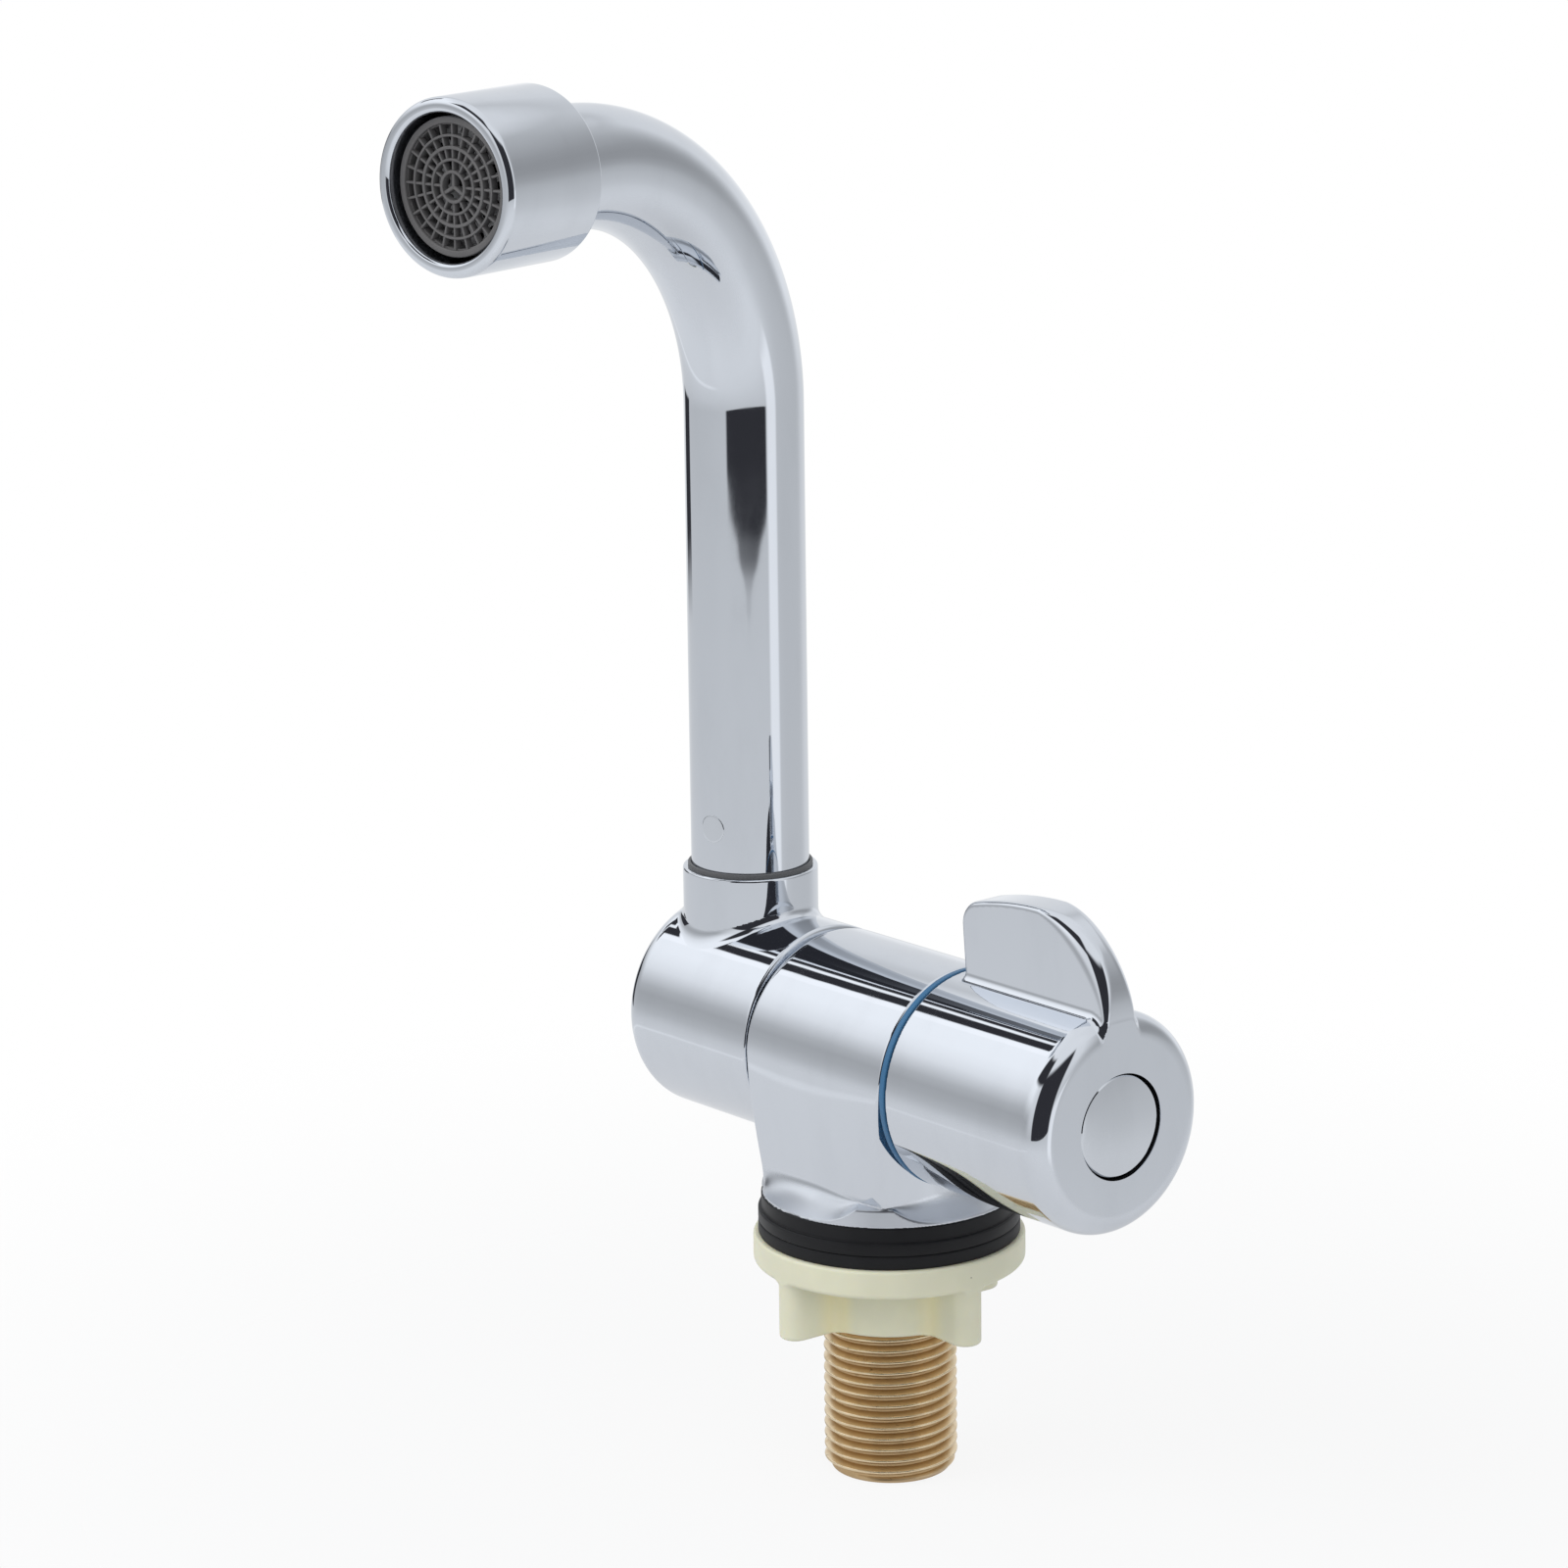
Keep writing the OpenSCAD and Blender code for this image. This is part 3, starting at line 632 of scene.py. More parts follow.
class Workpiece:
    """One mesh on the bench, shaped with Blender's operators."""

    TURN_STEPS = 160
    CORNER_STEPS = 8
    MERGE_REACH = 2e-7
    SLOPE_REACH = 0.02 * MM
    SETTLE_TURNS = 3
    SETTLE_STEPS = 5
    SETTLE_REACH = 1.0 * MM
    RELAX_SHARE = 0.5
    RELAX_TIMES = 5
    SKIN_REACH = 0.06 * MM
    LEAST_ALIGNED = 0.55
    MOST_OUT_OF_ROUND = 0.02

    def __init__(self, obj: bpy.types.Object, name: str) -> None:
        """Take an object and name it.

        Args:
            obj: A mesh object.
            name: The name for it and its mesh.
        """
        self.obj = obj
        obj.name = name
        obj.data.name = name

    @staticmethod
    def clear_selection() -> None:
        """Leave nothing selected, so that an operator acts on new work alone."""
        bpy.ops.object.select_all(action="DESELECT")

    def hold(self) -> None:
        """Select this piece alone and make it the active one."""
        self.clear_selection()
        self.obj.select_set(True)
        bpy.context.view_layer.objects.active = self.obj

    @contextmanager
    def editing(self) -> Iterator[None]:
        """Open the mesh in edit mode and close it afterwards.

        Returns:
            A context in which edit operators act on this mesh.
        """
        self.hold()
        bpy.ops.object.mode_set(mode="EDIT")
        bpy.ops.mesh.select_mode(type="VERT")
        yield
        bpy.ops.object.mode_set(mode="OBJECT")

    def pick(self, test: Callable[[Vector], bool]) -> None:
        """Select the vertices that pass a test on their place, in edit mode.

        Args:
            test: Says whether a place is wanted.
        """
        bm = bmesh.from_edit_mesh(self.obj.data)
        for vertex in bm.verts:
            vertex.select_set(test(vertex.co))
        bm.select_flush(True)
        bm.select_flush(False)
        bmesh.update_edit_mesh(self.obj.data)

    @staticmethod
    def bevel(width: float, steps: int, what: Round = Round.EDGES) -> None:
        """Round off the selected edges or corners, in edit mode."""
        bpy.ops.mesh.bevel(offset=width, affect=what.value, segments=steps, profile=0.5)

    @classmethod
    def wire(cls, name: str, path: Sequence[Sequence[float]]) -> "Workpiece":
        """Draw an open line in the XZ plane, by extruding one vertex along it.

        Args:
            name: The line's name.
            path: Radius and height of each point, in order.

        Returns:
            The line.
        """
        cls.clear_selection()
        bpy.ops.mesh.primitive_plane_add(size=MM)
        work = cls(bpy.context.active_object, name)
        with work.editing():
            bpy.ops.mesh.select_all(action="SELECT")
            bpy.ops.mesh.merge(type="CENTER")
            bpy.ops.transform.translate(value=(path[0][0], 0.0, path[0][1]))
            for here, there in zip(path, path[1:]):
                move = (there[0] - here[0], 0.0, there[1] - here[1])
                bpy.ops.mesh.extrude_vertices_move(TRANSFORM_OT_translate={"value": move})
        return work

    @classmethod
    def turned(cls, name: str, corners: Sequence[Corner], steps: int = TURN_STEPS,
               loop: bool = True) -> "Workpiece":
        """Turn a profile about the local Z axis, as on a lathe.

        Args:
            name: The piece's name.
            corners: Radius, height and edge radius of each corner, in order.
            steps: Steps round the axis.
            loop: Whether the last corner joins the first.

        Returns:
            The turned piece.
        """
        work = cls.wire(name, corners)
        with work.editing():
            if loop:
                ends = [Vector((c[0], 0.0, c[1])) for c in (corners[0], corners[-1])]
                work.pick(lambda co: any((co - e).length < SAME_SPOT for e in ends))
                bpy.ops.mesh.edge_face_add()
            for radius, height, edge in corners:
                if edge > 0.0:
                    spot = Vector((radius, 0.0, height))
                    work.pick(lambda co: (co - spot).length < SAME_SPOT)
                    cls.bevel(edge, cls.CORNER_STEPS, Round.CORNERS)
            bpy.ops.mesh.select_all(action="SELECT")
            bpy.ops.mesh.spin(steps=steps, angle=FULL_TURN, center=(0, 0, 0), axis=(0, 0, 1))
        work.seal()
        work.smooth()
        return work

    @classmethod
    def bar(cls, name: str, radius: float, low: float, high: float,
            edges: Span = (0.0, 0.0)) -> "Workpiece":
        """Turn a solid round bar along the local Z axis.

        Args:
            name: The bar's name.
            radius: Its radius.
            low: Where it starts.
            high: Where it ends.
            edges: Edge radii at its start and end.

        Returns:
            The bar.
        """
        corners = [(0, low, 0), (radius, low, edges[0]), (radius, high, edges[1]), (0, high, 0)]
        return cls.turned(name, corners, loop=False)

    @classmethod
    def ring(cls, name: str, bore: float, outer: float, low: float, high: float,
             edges: Sequence[float], steps: int = TURN_STEPS) -> "Workpiece":
        """Turn a ring about the local Z axis.

        Args:
            name: The ring's name.
            bore: Its inner radius.
            outer: Its outer radius.
            low: Where it starts.
            high: Where it ends.
            edges: Edge radii: low bore, low outside, high outside, high bore.
            steps: Steps round the axis.

        Returns:
            The ring.
        """
        places = ((bore, low), (outer, low), (outer, high), (bore, high))
        return cls.turned(name, [(*p, e) for p, e in zip(places, edges)], steps)

    @classmethod
    def block(cls, name: str, low: Sequence[float], high: Sequence[float]) -> "Workpiece":
        """Add a block.

        Args:
            name: The block's name.
            low: Its lowest corner.
            high: Its highest corner.

        Returns:
            The block.
        """
        cls.clear_selection()
        middle = [(a + b) / 2.0 for a, b in zip(low, high)]
        size = [b - a for a, b in zip(low, high)]
        bpy.ops.mesh.primitive_cube_add(size=1.0, location=middle, scale=size)
        work = cls(bpy.context.active_object, name)
        bpy.ops.object.transform_apply(location=True, rotation=True, scale=True)
        return work

    def seal(self) -> None:
        """Merge doubled vertices and point every face outwards."""
        with self.editing():
            bpy.ops.mesh.select_all(action="SELECT")
            bpy.ops.mesh.remove_doubles(threshold=self.MERGE_REACH)
            bpy.ops.mesh.normals_make_consistent(inside=False)

    def smooth(self, angle: float = 32.0) -> None:
        """Shade smooth over edges flatter than an angle, in degrees."""
        self.hold()
        bpy.ops.object.shade_smooth_by_angle(angle=math.radians(angle))

    def place(self, matrix: Matrix) -> "Workpiece":
        """Move the mesh to its place and leave the object at the origin.

        Args:
            matrix: The move.

        Returns:
            This piece.
        """
        self.hold()
        self.obj.matrix_world = matrix @ self.obj.matrix_world
        bpy.ops.object.transform_apply(location=True, rotation=True, scale=True)
        return self

    def copy(self) -> "Workpiece":
        """Copy the piece, with a mesh of its own.

        Returns:
            The copy.
        """
        twin = self.obj.copy()
        twin.data = self.obj.data.copy()
        bpy.context.scene.collection.objects.link(twin)
        return Workpiece(twin, self.obj.name + "_copy")

    def take(self, *others: "Workpiece") -> "Workpiece":
        """Join other pieces into this one's mesh.

        Args:
            others: The pieces, which are used up.

        Returns:
            This piece.
        """
        self.hold()
        for work in others:
            work.obj.select_set(True)
        bpy.ops.object.join()
        return self

    def modify(self, kind: str, **settings: object) -> "Workpiece":
        """Add a modifier and apply it.

        Args:
            kind: The modifier's type.
            settings: Its properties.

        Returns:
            This piece.
        """
        self.hold()
        modifier = self.obj.modifiers.new(kind.lower(), kind)
        for name, setting in settings.items():
            setattr(modifier, name, setting)
        bpy.ops.object.modifier_apply(modifier=modifier.name)
        return self

    def points(self) -> np.ndarray:
        """Read the vertices' places.

        Returns:
            The places, one to a row.
        """
        flat = np.empty(len(self.obj.data.vertices) * 3)
        self.obj.data.vertices.foreach_get("co", flat)
        return flat.reshape(-1, 3)

    def faces(self, reading: Reading) -> np.ndarray:
        """Read one vector of every face.

        Args:
            reading: Which one.

        Returns:
            The vectors, one to a row.
        """
        flat = np.empty(len(self.obj.data.polygons) * 3)
        self.obj.data.polygons.foreach_get(reading.value, flat)
        return flat.reshape(-1, 3)

    def move_points(self, points: np.ndarray) -> None:
        """Put the vertices at new places."""
        self.obj.data.vertices.foreach_set("co", points.astype(np.float32).ravel())
        self.obj.data.update()

    @classmethod
    def slope(cls, form: Distance, points: np.ndarray) -> np.ndarray:
        """Return a form's unit normals at points, by central differences."""
        steps = np.eye(3) * cls.SLOPE_REACH
        return unit(np.stack([form(points + step) - form(points - step) for step in steps], 1))

    @staticmethod
    def outward(points: np.ndarray, origin: np.ndarray, line: np.ndarray) -> np.ndarray:
        """Return unit vectors from an axis, given by a point and a direction, out to points."""
        off = points - origin
        return unit(off - (off @ line)[:, None] * line)

    def settle(self, form: Distance, voxel: float, passes: int = 2) -> "Workpiece":
        """Fuse the joined solids into one skin and draw it onto a soft form.

        Args:
            form: The form's signed distance.
            voxel: The skin's mesh size.
            passes: How often the skin is meshed afresh.

        Returns:
            This piece.
        """
        for _ in range(passes):
            self.modify("REMESH", mode="VOXEL", voxel_size=voxel)
            for turn in range(self.SETTLE_TURNS):
                if turn:
                    self.modify("SMOOTH", factor=self.RELAX_SHARE, iterations=self.RELAX_TIMES)
                points = self.points()
                for _ in range(self.SETTLE_STEPS):
                    step = np.clip(form(points), -self.SETTLE_REACH, self.SETTLE_REACH)
                    points = points - self.slope(form, points) * step[:, None]
                self.move_points(points)
        return self

    def cut(self, *tools: "Workpiece") -> "Workpiece":
        """Cut other pieces out of this one.

        Args:
            tools: The pieces, which are used up.

        Returns:
            This piece.
        """
        for tool in tools:
            self.modify("BOOLEAN", operation="DIFFERENCE", solver="EXACT", object=tool.obj)
            bpy.data.objects.remove(tool.obj)
        return self

    def shade(self, form: Distance, *axes: Matrix, lean: Lean | None = None) -> "Workpiece":
        """Give the skin the form's own normals, and turned cuts the normals of a lathe.

        Args:
            form: The form that the skin was drawn onto.
            axes: Frames whose Z axes the cuts were turned about.
            lean: Takes points and their normals, and gives the normals to show.

        Returns:
            This piece.
        """
        mesh = self.obj.data
        count, points = len(mesh.polygons), self.points()
        facing, centre = self.faces(Reading.NORMAL), self.faces(Reading.CENTRE)
        sides, vertex = np.empty(count, int), np.empty(len(mesh.loops), int)
        mesh.polygons.foreach_get("loop_total", sides)
        mesh.loops.foreach_get("vertex_index", vertex)
        face = np.repeat(np.arange(count), sides)
        normals = self.slope(form, points)
        normals = (lean(points, normals) if lean else normals)[vertex]
        plain = (normals * facing[face]).sum(1) < self.LEAST_ALIGNED
        normals = np.where(plain[:, None], facing[face], normals)
        off_skin = np.abs(form(centre)) >= self.SKIN_REACH
        best = np.full(count, self.MOST_OUT_OF_ROUND)
        for axis in axes:
            origin, line = np.array(axis.translation), np.array(axis.to_3x3().col[2])
            rise = facing @ line
            swing = (facing * self.outward(centre, origin, line)).sum(1)
            miss = np.abs(1.0 - rise ** 2 - swing ** 2)
            turned = off_skin & (miss < best)
            best = np.where(turned, miss, best)
            spread = self.outward(points, origin, line)[vertex]
            lathe = rise[face, None] * line + swing[face, None] * spread
            normals = np.where(turned[face, None], lathe, normals)
        mesh.polygons.foreach_set("use_smooth", np.ones(count, bool))
        mesh.normals_split_custom_set(normals.tolist())
        return self

    def shadow(self, test: Callable[[np.ndarray], np.ndarray]) -> None:
        """Paint the faces whose centres pass a test in satin black, as painted shade deep in a gap.

        Args:
            test: Takes the centres, as rows, and says which are meant.
        """
        mesh = self.obj.data
        # Satin black here is painted shade on chrome and trim faces, not a black part.
        mesh.materials.append(SATIN_BLACK.material())
        dark = test(self.faces(Reading.CENTRE)).astype(np.int32)
        mesh.polygons.foreach_set("material_index", dark)
        mesh.update()

    def finish(self, carrier: Carrier, slot: Slot, finish: Finish, *nodes: str) -> None:
        """Dress the piece, hang it on its carrier and hide the solids that it stands for.

        Args:
            carrier: The body that it moves with.
            slot: Its material slot in the record; not used.
            finish: Its finish.
            nodes: The solids that it stands for.
        """
        self.obj.data.materials.clear()
        self.obj.data.materials.append(finish.material())
        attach(self.obj, carrier.value)
        if nodes:
            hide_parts(*nodes)
        faces = len(self.obj.data.polygons)
        log.info("%s: %d faces, %s, on %s", self.obj.name, faces, finish.name, carrier.value)


@dataclass
class Barrel:
    """The tap's shared lines: the barrel's axis and the upright spout's axis."""

    radius: float
    axis: float
    spout_x: float
    swivel: float = math.radians(10.8)
    crown_share: float = 0.9

    @classmethod
    def from_frame(cls) -> "Barrel":
        """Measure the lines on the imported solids.

        Returns:
            The lines.
        """
        knob_low, knob_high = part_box("handle_knob")
        bush_low, bush_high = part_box("collar_bush")
        spout_x = (bush_low.x + bush_high.x) / 2.0
        return cls(radius=knob_high.y, axis=knob_low.z + knob_high.y, spout_x=spout_x)

    def along(self, x: float) -> Matrix:
        """Place local Z along the barrel, towards the knob, from x."""
        return Matrix.Translation((x, 0.0, self.axis)) @ Matrix.Rotation(QUARTER_TURN, 4, "Y")

    def standing(self) -> Matrix:
        """Place local Z up the spout, unturned."""
        return Matrix.Translation((self.spout_x, 0.0, 0.0))

    def upright(self, z: float = 0.0) -> Matrix:
        """Place local Z up the spout, turned with the arm, from height z."""
        turned = Matrix.Rotation(self.swivel, 4, "Z")
        return Matrix.Translation((self.spout_x, 0.0, z)) @ turned

    def arm(self, height: float, distance: float) -> Matrix:
        """Place local Z along the arm, from a distance to the upright axis."""
        out = Matrix.Translation((0.0, -distance, 0.0)) @ Matrix.Rotation(QUARTER_TURN, 4, "X")
        return self.upright(height) @ out

    def across(self, points: np.ndarray) -> np.ndarray:
        """Return the distance of points from the barrel's axis."""
        return np.hypot(points[:, 1], points[:, 2] - self.axis)

    def crown(self, z: np.ndarray) -> np.ndarray:
        """Return 0 for heights up to the barrel's axis, rising to 1 near its top."""
        return np.clip((z - self.axis) / (self.crown_share * self.radius), 0.0, 1.0)


@dataclass
class ValveBody:
    """The cast body on its round foot, with the black base rings and the blue ring."""

    barrel: Barrel
    foot_radius: float = 20.0 * MM
    foot_top: float = 9.46 * MM
    draft: float = 0.092
    draft_start: float = 1.5 * MM
    side_bow: float = 9.0
    side_far: float = 0.85
    end_bow: float = 15.8
    hinge_bow: float = 1.0
    bow_softness: float = 0.16
    bow_limit: float = 1.1
    seam_gap: float = 0.2 * MM
    seam_edge: float = 0.5 * MM
    seam_crown: float = 2.0 * MM
    ring_edge: float = 0.4 * MM
    corner_edge: float = 0.45 * MM
    ledge_fillet: float = 0.45 * MM
    lip_edge: float = 0.2 * MM
    lip_least: float = 0.4 * MM
    scoop_least: float = 0.05 * MM
    scoop_rise: float = 1.3 * MM
    scoop_half: float = 33.5
    scoop_far_half: float = 70.0
    end_scoop_half: float = 39.4
    voxel: float = 0.25 * MM
    settle_passes: int = 3
    base_bore: float = 10.2 * MM
    base_step: float = 2.0 * MM
    brim_edges: Span = (0.25 * MM, 0.3 * MM)
    band_edges: Span = (0.15 * MM, 0.3 * MM)
    gasket_edges: Span = (0.3 * MM, 0.35 * MM)
    blue_bore: float = 13.6 * MM
    blue_edges: Span = (0.12 * MM, 0.25 * MM)

    def __post_init__(self) -> None:
        """Read the body's ends and foot from the solids."""
        self.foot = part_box("valve_body")[0].z
        self.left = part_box("spout_hub")[1].x + self.seam_gap
        self.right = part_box("indicator_ring")[0].x

    def wall(self, points: np.ndarray) -> np.ndarray:
        """Signed distance of the arch above the foot.

        Args:
            points: Places to measure.

        Returns:
            Distances, negative inside.
        """
        x, y, z = points.T
        axis, radius = self.barrel.axis, self.barrel.radius
        fall = above_zero((axis - z) / (axis - self.foot_top), self.bow_softness)
        fall = np.minimum(fall, self.bow_limit)
        draft = self.draft * above_zero(axis - self.draft_start - z, 2.0 * self.draft_start)
        side = np.where(x < 0.0, x * self.side_far, x)
        arch = np.hypot(y, np.maximum(z - axis, 0.0)) + draft + self.side_bow * (fall * side) ** 2
        end = x + self.end_bow * fall * y ** 2
        hinge = -x + self.hinge_bow * fall * y ** 2
        low = np.clip(fall * 2.0, 0.0, 1.0)
        corner = self.ring_edge + (self.corner_edge - self.ring_edge) * low
        seam = self.seam_edge + self.seam_crown * self.barrel.crown(z) ** 2
        return meet(meet(arch - radius, end - self.right, corner), hinge + self.left, seam)

    def scoop_share(self, points: np.ndarray) -> np.ndarray:
        """Tell how far round the nearest of the foot's scoops points lie.

        Args:
            points: Places to look at.

        Returns:
            0 in the middle of a scoop, 1 at its tips and beyond.
        """
        x, y, _ = points.T
        heading = np.degrees(np.arctan2(x, -y))
        half = np.where(x < 0.0, self.scoop_far_half, self.scoop_half)
        side = np.minimum(np.abs(heading), 180.0 - np.abs(heading)) / half
        end = np.abs(heading - 90.0) / self.end_scoop_half
        return np.minimum(np.minimum(side, end), 1.0)

    def skin(self, points: np.ndarray) -> np.ndarray:
        """Signed distance of the soft cast form, with its swept foot.

        Args:
            points: Places to measure.

        Returns:
            Distances, negative inside.
        """
        x, y, z = points.T
        across = np.maximum(np.hypot(x, y), TINY)
        shell = self.wall(points)
        slant = np.full_like(x, self.foot_top / self.foot_radius)
        rim = np.stack([x / across, y / across, slant], 1) * self.foot_radius
        room = np.maximum(self.wall(rim), self.scoop_least)
        off = self.scoop_share(points)
        lip = self.foot_top - (self.foot_top - self.foot - self.lip_least) * (1.0 - off ** 4)
        top = self.foot_top + self.ledge_fillet + self.scoop_rise * (1.0 - off ** 2)
        depth = top - lip
        drop = np.clip(top - z, 0.0, None) / depth
        skirt = (shell - room * drop ** 2) / np.hypot(1.0, 2.0 * room * drop / depth)
        skirt = meet(skirt, across - self.foot_radius, self.lip_edge)
        return np.maximum(np.minimum(shell, skirt), self.foot - z)

    def cast_shell(self) -> None:
        """Model the body's casting."""
        reach, axis = self.barrel.radius, self.barrel.axis
        low, high = (self.left, -reach, self.foot), (self.right, reach, axis)
        shell = Workpiece.block("tap_body", low, high)
        drum = Workpiece.bar("drum", reach, 0.0, self.right - self.left)
        drum.place(self.barrel.along(self.left))
        foot = Workpiece.bar("foot", self.foot_radius, self.foot, self.foot_top)
        shell.take(drum, foot).settle(self.skin, self.voxel, self.settle_passes).shade(self.skin)
        shell.finish(Carrier.BODY, Slot.CHROME, BODY_CHROME, "valve_body")

    def base_rings(self) -> None:
        """Model the black base ring and the gasket under it."""
        low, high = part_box("base_ring")
        bore, brim, band, step = self.base_bore, high.x, self.foot_radius, low.z + self.base_step
        ring = Workpiece.turned("base_ring_black", [
            (bore, low.z, 0), (brim, low.z, self.brim_edges[0]), (brim, step, self.brim_edges[1]),
            (band, step, self.band_edges[0]), (band, high.z, self.band_edges[1]),
            (bore, high.z, 0)])
        ring.finish(Carrier.BODY, Slot.BLACK_PLASTIC, SATIN_BLACK, "base_ring")
        low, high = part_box("base_gasket")
        gasket = Workpiece.ring(
            "base_gasket_black", bore, high.x, low.z, high.z, (0, *self.gasket_edges, 0))
        gasket.finish(Carrier.BODY, Slot.BLACK_RUBBER, MATT_RUBBER, "base_gasket")

    def blue_ring(self) -> None:
        """Model the blue ring between the body and the knob."""
        low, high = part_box("indicator_ring")
        ring = Workpiece.ring("knob_ring_blue", self.blue_bore, high.y, 0.0, high.x - low.x,
                              (0, *self.blue_edges, 0))
        ring.place(self.barrel.along(low.x))
        ring.finish(Carrier.BODY, Slot.BLUE_PLASTIC, RING_BLUE, "indicator_ring")

    def build(self) -> None:
        """Build every piece of the sub-assembly."""
        self.cast_shell()
        self.base_rings()
        self.blue_ring()


@dataclass
class Shank:
    """The brass tail with its helical thread, chamfered end and bore."""

    bore: float = 6.5 * MM
    bore_edge: float = 0.4 * MM
    end_edge: float = 0.3 * MM
    neck_radius: float = 10.1775 * MM
    neck_top: float = 6.6 * MM
    stem_radius: float = 9.05 * MM
    pitch: float = 1.814 * MM
    thread_depth: float = 1.1 * MM
    tooth_sink: float = 0.3 * MM
    tooth_foot: float = 0.08
    tooth_crest: float = 0.12
    crest_edge: float = 0.18 * MM
    crest_steps: int = 6
    turn_steps: int = 96
    lead_turns: float = 1.2
    end_gap: float = 0.02 * MM
    chamfer_start: float = 0.2 * MM
    chamfer_slope: float = 0.9
    covered_from: float = -13.8 * MM
    thread_angle: float = 50.0

    def __post_init__(self) -> None:
        """Read the shank's ends and the thread's crest from the solid."""
        low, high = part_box("threaded_shank")
        self.end, self.top, self.crest = low.z, high.z, high.x
        self.root = self.crest - self.thread_depth
        self.foot = self.root - self.tooth_sink

    def core(self) -> Workpiece:
        """Turn the shank without the thread's teeth.

        Returns:
            The shank's core.
        """
        return Workpiece.turned("brass_shank", [
            (self.bore, self.end, self.bore_edge), (self.root, self.end, self.end_edge),
            (self.root, 0, 0), (self.neck_radius, 0, 0), (self.neck_radius, self.neck_top, 0),
            (self.stem_radius, self.neck_top, 0), (self.stem_radius, self.top, 0),
            (self.bore, self.top, 0)])

    def tooth(self, start: float) -> list[Span]:
        """Trace one tooth with its rounded crest.

        Args:
            start: The height of its lower foot.

        Returns:
            Radius and height of each point, in order.
        """
        ledge = self.tooth_foot * self.pitch
        trace = [(self.foot, 0.0), (self.root, ledge)]
        for i in range(self.crest_steps + 1):
            turn = math.pi * i / self.crest_steps
            radius = self.crest - self.crest_edge + self.crest_edge * math.sin(turn)
            trace.append((radius, self.pitch * (0.5 - self.tooth_crest * math.cos(turn))))
        trace += [(self.root, self.pitch - ledge), (self.foot, self.pitch)]
        return [(radius, start + height) for radius, height in trace]

    def thread(self) -> Workpiece:
        """Wind a tooth up the shank, chamfer its end and thin it where the nut covers it.

        Returns:
            The thread.
        """
        start = self.end - self.lead_turns * self.pitch
        turns = int((0.0 - start) / self.pitch) - 1
        ridge = Workpiece.wire("thread_ridge", self.tooth(start))
        ridge.modify("SCREW", axis="Z", angle=FULL_TURN, steps=self.turn_steps,
                     render_steps=self.turn_steps, iterations=turns, screw_offset=self.pitch,
                     use_merge_vertices=True, merge_threshold=TINY)
        points = ridge.points()
        points[:, 2] = np.maximum(points[:, 2], self.end + self.end_gap)
        z, across = points[:, 2], np.hypot(points[:, 0], points[:, 1])
        chamfer = self.root - self.chamfer_start + (z - self.end) * self.chamfer_slope
        limit = np.minimum(self.crest, chamfer)
        limit = np.where(z > self.covered_from, np.minimum(limit, self.neck_radius), limit)
        points[:, :2] *= (np.minimum(across, np.maximum(limit, self.foot)) / across)[:, None]
        ridge.move_points(points)
        ridge.seal()
        ridge.smooth(self.thread_angle)
        return ridge

    def build(self) -> None:
        """Join the core and its thread."""
        shank = self.core().take(self.thread())
        shank.finish(Carrier.BODY, Slot.BRASS, RAW_BRASS, "threaded_shank")


